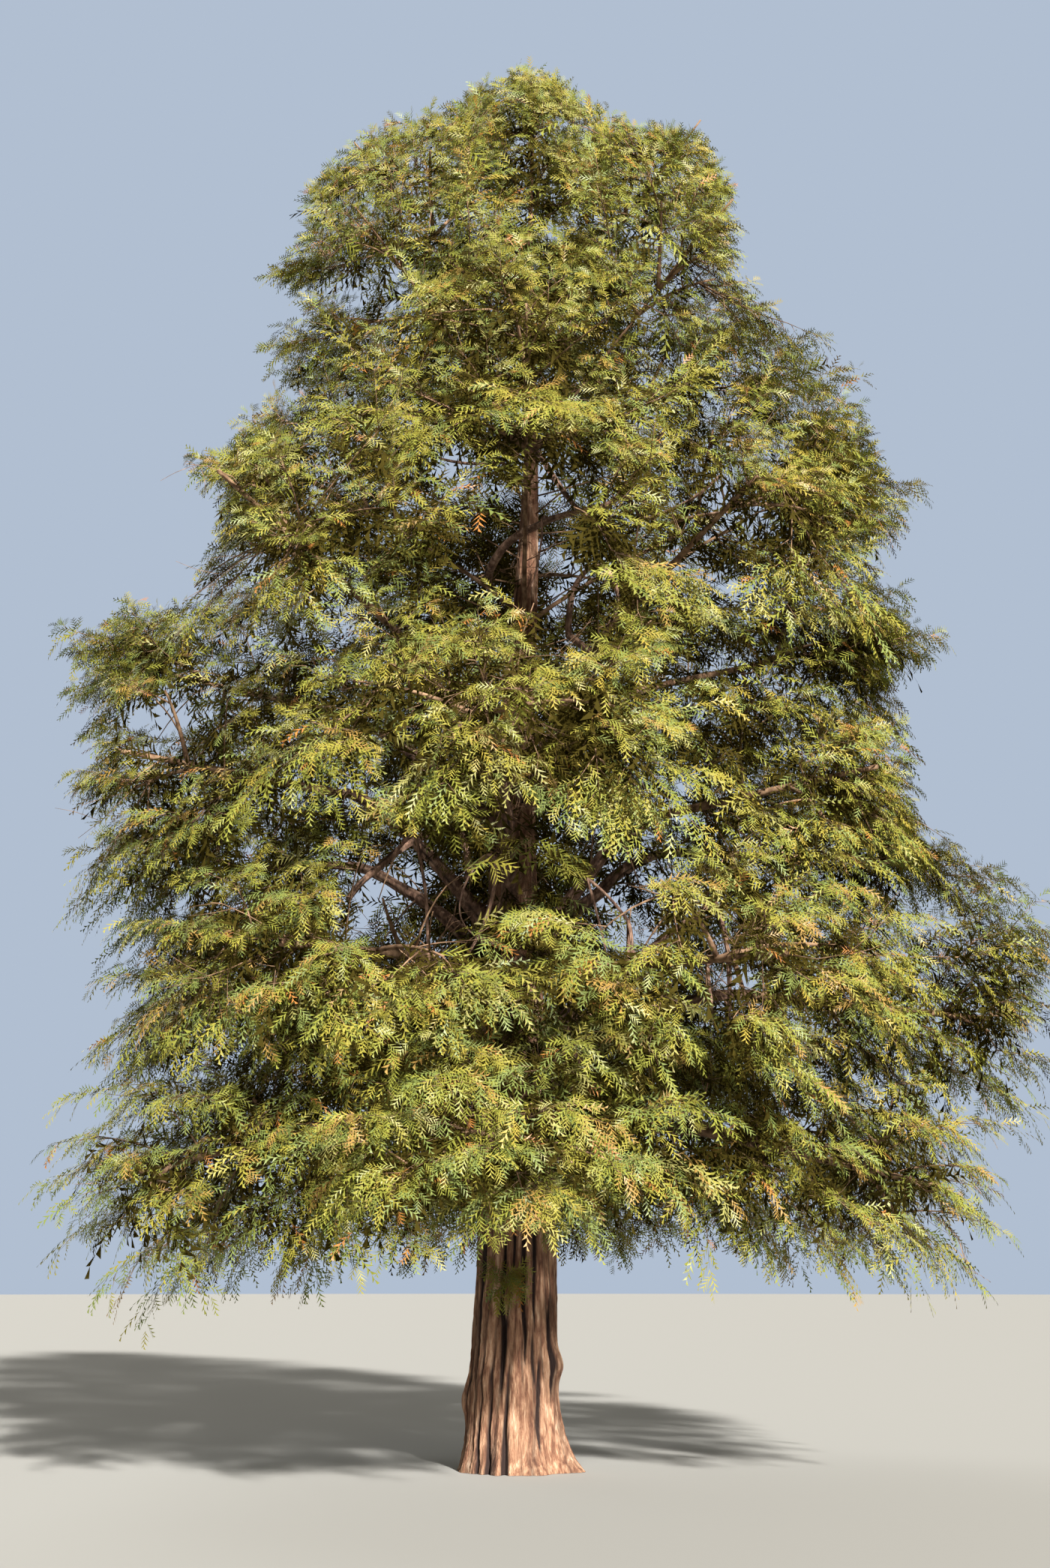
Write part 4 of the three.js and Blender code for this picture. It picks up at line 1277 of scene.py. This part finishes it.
def rows_of_shoots(curves, chances, hang):
    """Needles on shoots in two rows along fronds, and the number of the frond that each shoot stands on."""
    lengths = np.linalg.norm(curves[2] - curves[0], axis=1)
    buried = is_buried(curves[2])
    spacing = SHOOT.spacing * np.where(buried, BURIED.spacing, 1)
    counts = np.maximum(SHOOT.fewest, np.round(lengths / spacing)).astype(int)
    frond = np.repeat(np.arange(len(lengths)), counts)
    within = np.arange(len(frond)) - np.repeat(np.cumsum(counts) - counts, counts)
    t = SHOOT.first + (1 - SHOOT.first) * (within + 1) / counts[frond]
    roots, along = point_along(curves[:, frond], t[:, None])
    over = facing(along, roots)
    side = np.cross(along, over) * np.where(within % 2, 1, -1)[:, None]
    draw = chances.uniform(-1, 1, (len(frond), 6))
    angle = np.radians(SHOOT.angle - SHOOT.closes * t + SHOOT_VARIES.angle * draw[:, 0])
    angle = np.where(within == counts[frond] - 1, 0, angle)
    heading = along * np.cos(angle)[:, None] + side * np.sin(angle)[:, None]
    heading = unit(heading + over * (SHOOT.lifts + SHOOT_VARIES.lifts * draw[:, 1])[:, None])
    size = SHOOT.length * (SHOOT.at_foot + SHOOT.in_middle * np.sin(np.pi * np.clip(t, 0.04, 0.9)) ** 0.8)
    size = size * (1 + SHOOT_VARIES.length * draw[:, 2])
    size = size * np.clip(lengths[frond] / FROND_LENGTH.usual, FROND_LENGTH.least, FROND_LENGTH.most)
    droop = np.clip(hang * (1 + SHOOT_VARIES.droop * draw[:, 3]), 0, SHOOT.droops_most)
    face = outward(roots) + SHOOT.up * UP + SHOOT.over * over
    face = unit(face + SHOOT_VARIES.face * chances.uniform(-1, 1, (len(frond), 3)))
    larger = np.where(buried, BURIED.larger, 1)[frond]
    size = larger * size / (1 + SHOOT.droop_shortens * droop)
    width = larger * SHOOT.width * (1 + SHOOT_VARIES.width * draw[:, 4])
    return (*shoots_with_needles(roots, heading, face, size, width, droop), frond)


def tints_for(tips, chances):
    """A tint for each frond: some are likelier low down, gold towards +X as painted sunlight and bluish
    towards -X as painted shade.
    """
    share, when_low, painted_sunlight_lean, painted_shade_lean = np.array([places for _, places in TINTS.values()]).T
    right = np.clip(tips[:, :1] / 4, 0, 1)
    left = np.clip(-tips[:, :1] / 4, 0, 1)
    low = np.clip((5 - tips[:, 2:]) / 4, 0, 1)
    weights = share * np.maximum(0.05, 1 + when_low * low + painted_sunlight_lean * right + painted_shade_lean * left)
    weights /= weights.sum(axis=1, keepdims=True)
    return (weights.cumsum(axis=1) < chances.uniform(0, 1, (len(tips), 1))).sum(axis=1)


def tints_of_shoots(grown, frond):
    """The tint of each shoot: its frond's, or the dark tint of painted shade deep in the crown; a quarter
    stray, a few are rusty.
    """
    tips = grown.curves[2]
    tint = tints_for(tips, grown.chances)
    inside = np.maximum(np.tile(grown.deep, SIDE_FROND.count + 1), is_buried(tips))
    limit = SHADED_ABOVE.airy if grown.name in AIRY else SHADED_ABOVE.dense
    # fronds deep in the crown mostly take the tint of painted shade
    shaded = inside * grown.chances.uniform(0, 1, len(tint)) > limit
    tint = np.where(shaded, SHADED, tint)[frond]
    stray = grown.chances.uniform(0, 1, len(frond))
    tint = np.where(stray < STRAY.share, grown.chances.integers(0, STRAY.tints, len(frond)), tint)
    return np.where(stray > STRAY.rust_above, RUST, tint)


def inner_shoots(grown):
    """Larger shoots on the inner wood, mostly in the dark tint of painted shade, where they have room and
    close no gap, and their tints.
    """
    airy = grown.name in AIRY
    spacing = INNER.spacing * (INNER.airy if airy else 1)
    roots, along = [], []
    for wood in (w for m in grown.group for w in (*m.branches, *m.twigs, m.stem)):
        for share in np.linspace(INNER.first, 1, round(length_of(wood.path) / spacing) + 2):
            root = point_on(wood.path, share)
            ways = (INNER.above * UP, -INNER.below * UP, INNER.outwards * outward(root))
            if all(in_crown(root + INNER.length * way) for way in ways) and not stays_open(root):
                roots.append(root)
                along.append(unit(wood.path[-1] - wood.path[0]))
    roots, along = np.array(roots), np.array(along)
    headings = unit(along * INNER.onward + unit(grown.chances.uniform(-1, 1, roots.shape)))
    draw = grown.chances.uniform(-1, 1, roots.shape)
    faces = unit(outward(roots) + INNER.up * UP + INNER_VARIES.face * draw)
    lengths = INNER.length * (1 + INNER_VARIES.length * draw[:, 0])
    widths = INNER.width * (1 + INNER_VARIES.width * draw[:, 1])
    sags = INNER.sag + INNER_VARIES.sag * draw[:, 2]
    limit = INNER_MOSS_BELOW.airy if airy else INNER_MOSS_BELOW.dense
    # inner shoots are mostly in the tint of painted shade, a few in moss
    tint = np.where(draw[:, 0] < limit, MOSS, SHADED)
    return (*shoots_with_needles(roots, headings, faces, lengths, widths, sags), tint)


for grown in grown_tiers:
    points, needles, frond = rows_of_shoots(grown.curves, grown.chances, grown.droop)
    tint = tints_of_shoots(grown, frond)
    inner_points, inner_needles, inner_tint = inner_shoots(grown)
    tint = np.repeat(np.concatenate([tint, inner_tint]), 2 * ROW)
    foliage = joined_mesh(f"needles_{grown.name}", [(points, needles), (inner_points, inner_needles)], tint)
    for material in needle_materials:
        foliage.data.materials.append(material)
    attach(foliage, "root")
    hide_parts(*[f"foliage_{m.name}" for m in grown.group])

# Stage: a plain pale floor under a plain sky that is pale to the camera and dimmer and warmer for the tree.
# One soft sun stands behind the camera on the right and a weak, very soft one behind the tree, and the
# camera looks up at the tree from eye height.
LENS = 41.3
LOOKS_UP = 15.27
bpy.ops.object.select_all(action="DESELECT")
bpy.ops.mesh.primitive_circle_add(vertices=128, radius=150, fill_type="NGON", location=(0, 0, -0.002))
bpy.ops.object.transform_apply(location=True)
floor = bpy.context.object
floor.name = "floor"
floor.data.materials.append(plain_material("pale_floor", (0.34, 0.34, 0.33), 0.9))

world = bpy.data.worlds.new("pale_sky")
world.use_nodes = True
tree = world.node_tree
light = tree.nodes["Background"]
light.inputs["Color"].default_value = (1.0, 0.84, 0.54, 1)
light.inputs["Strength"].default_value = 0.11
backdrop = add_node(tree, "ShaderNodeBackground", {"Color": (0.44, 0.52, 0.64, 1)})
seen = add_node(tree, "ShaderNodeLightPath")
either = add_node(tree, "ShaderNodeMixShader")
wire(tree, seen, "Is Camera Ray", either, "Fac")
wire(tree, light, "Background", either, 1)
wire(tree, backdrop, "Background", either, 2)
wire(tree, either, "Shader", tree.nodes["World Output"], "Surface")
bpy.context.scene.world = world


def soft_sun(name, strength, colour, width, tilt, turn):
    """A sun so many degrees wide, tilted away from straight down and turned round the tree."""
    light = bpy.data.lights.new(name, "SUN")
    light.energy = strength
    light.color = colour
    light.angle = math.radians(width)
    lamp = bpy.data.objects.new(name, light)
    lamp.rotation_euler = (math.radians(tilt), 0, math.radians(turn))
    bpy.context.collection.objects.link(lamp)


soft_sun("soft_sun", strength=10.6, colour=(1.0, 0.96, 0.89), width=3, tilt=62, turn=22)
soft_sun("soft_fill", strength=1.2, colour=(0.95, 0.96, 0.94), width=40, tilt=55, turn=205)
camera = bpy.data.cameras.new("camera")
camera.lens = LENS
camera.clip_end = 500
camera_rig = bpy.data.objects.new("camera", camera)
camera_rig.location = EYE
camera_rig.rotation_euler = (math.radians(90 + LOOKS_UP), 0, 0)
bpy.context.collection.objects.link(camera_rig)
bpy.context.scene.camera = camera_rig
bpy.context.scene.view_settings.view_transform = "Standard"
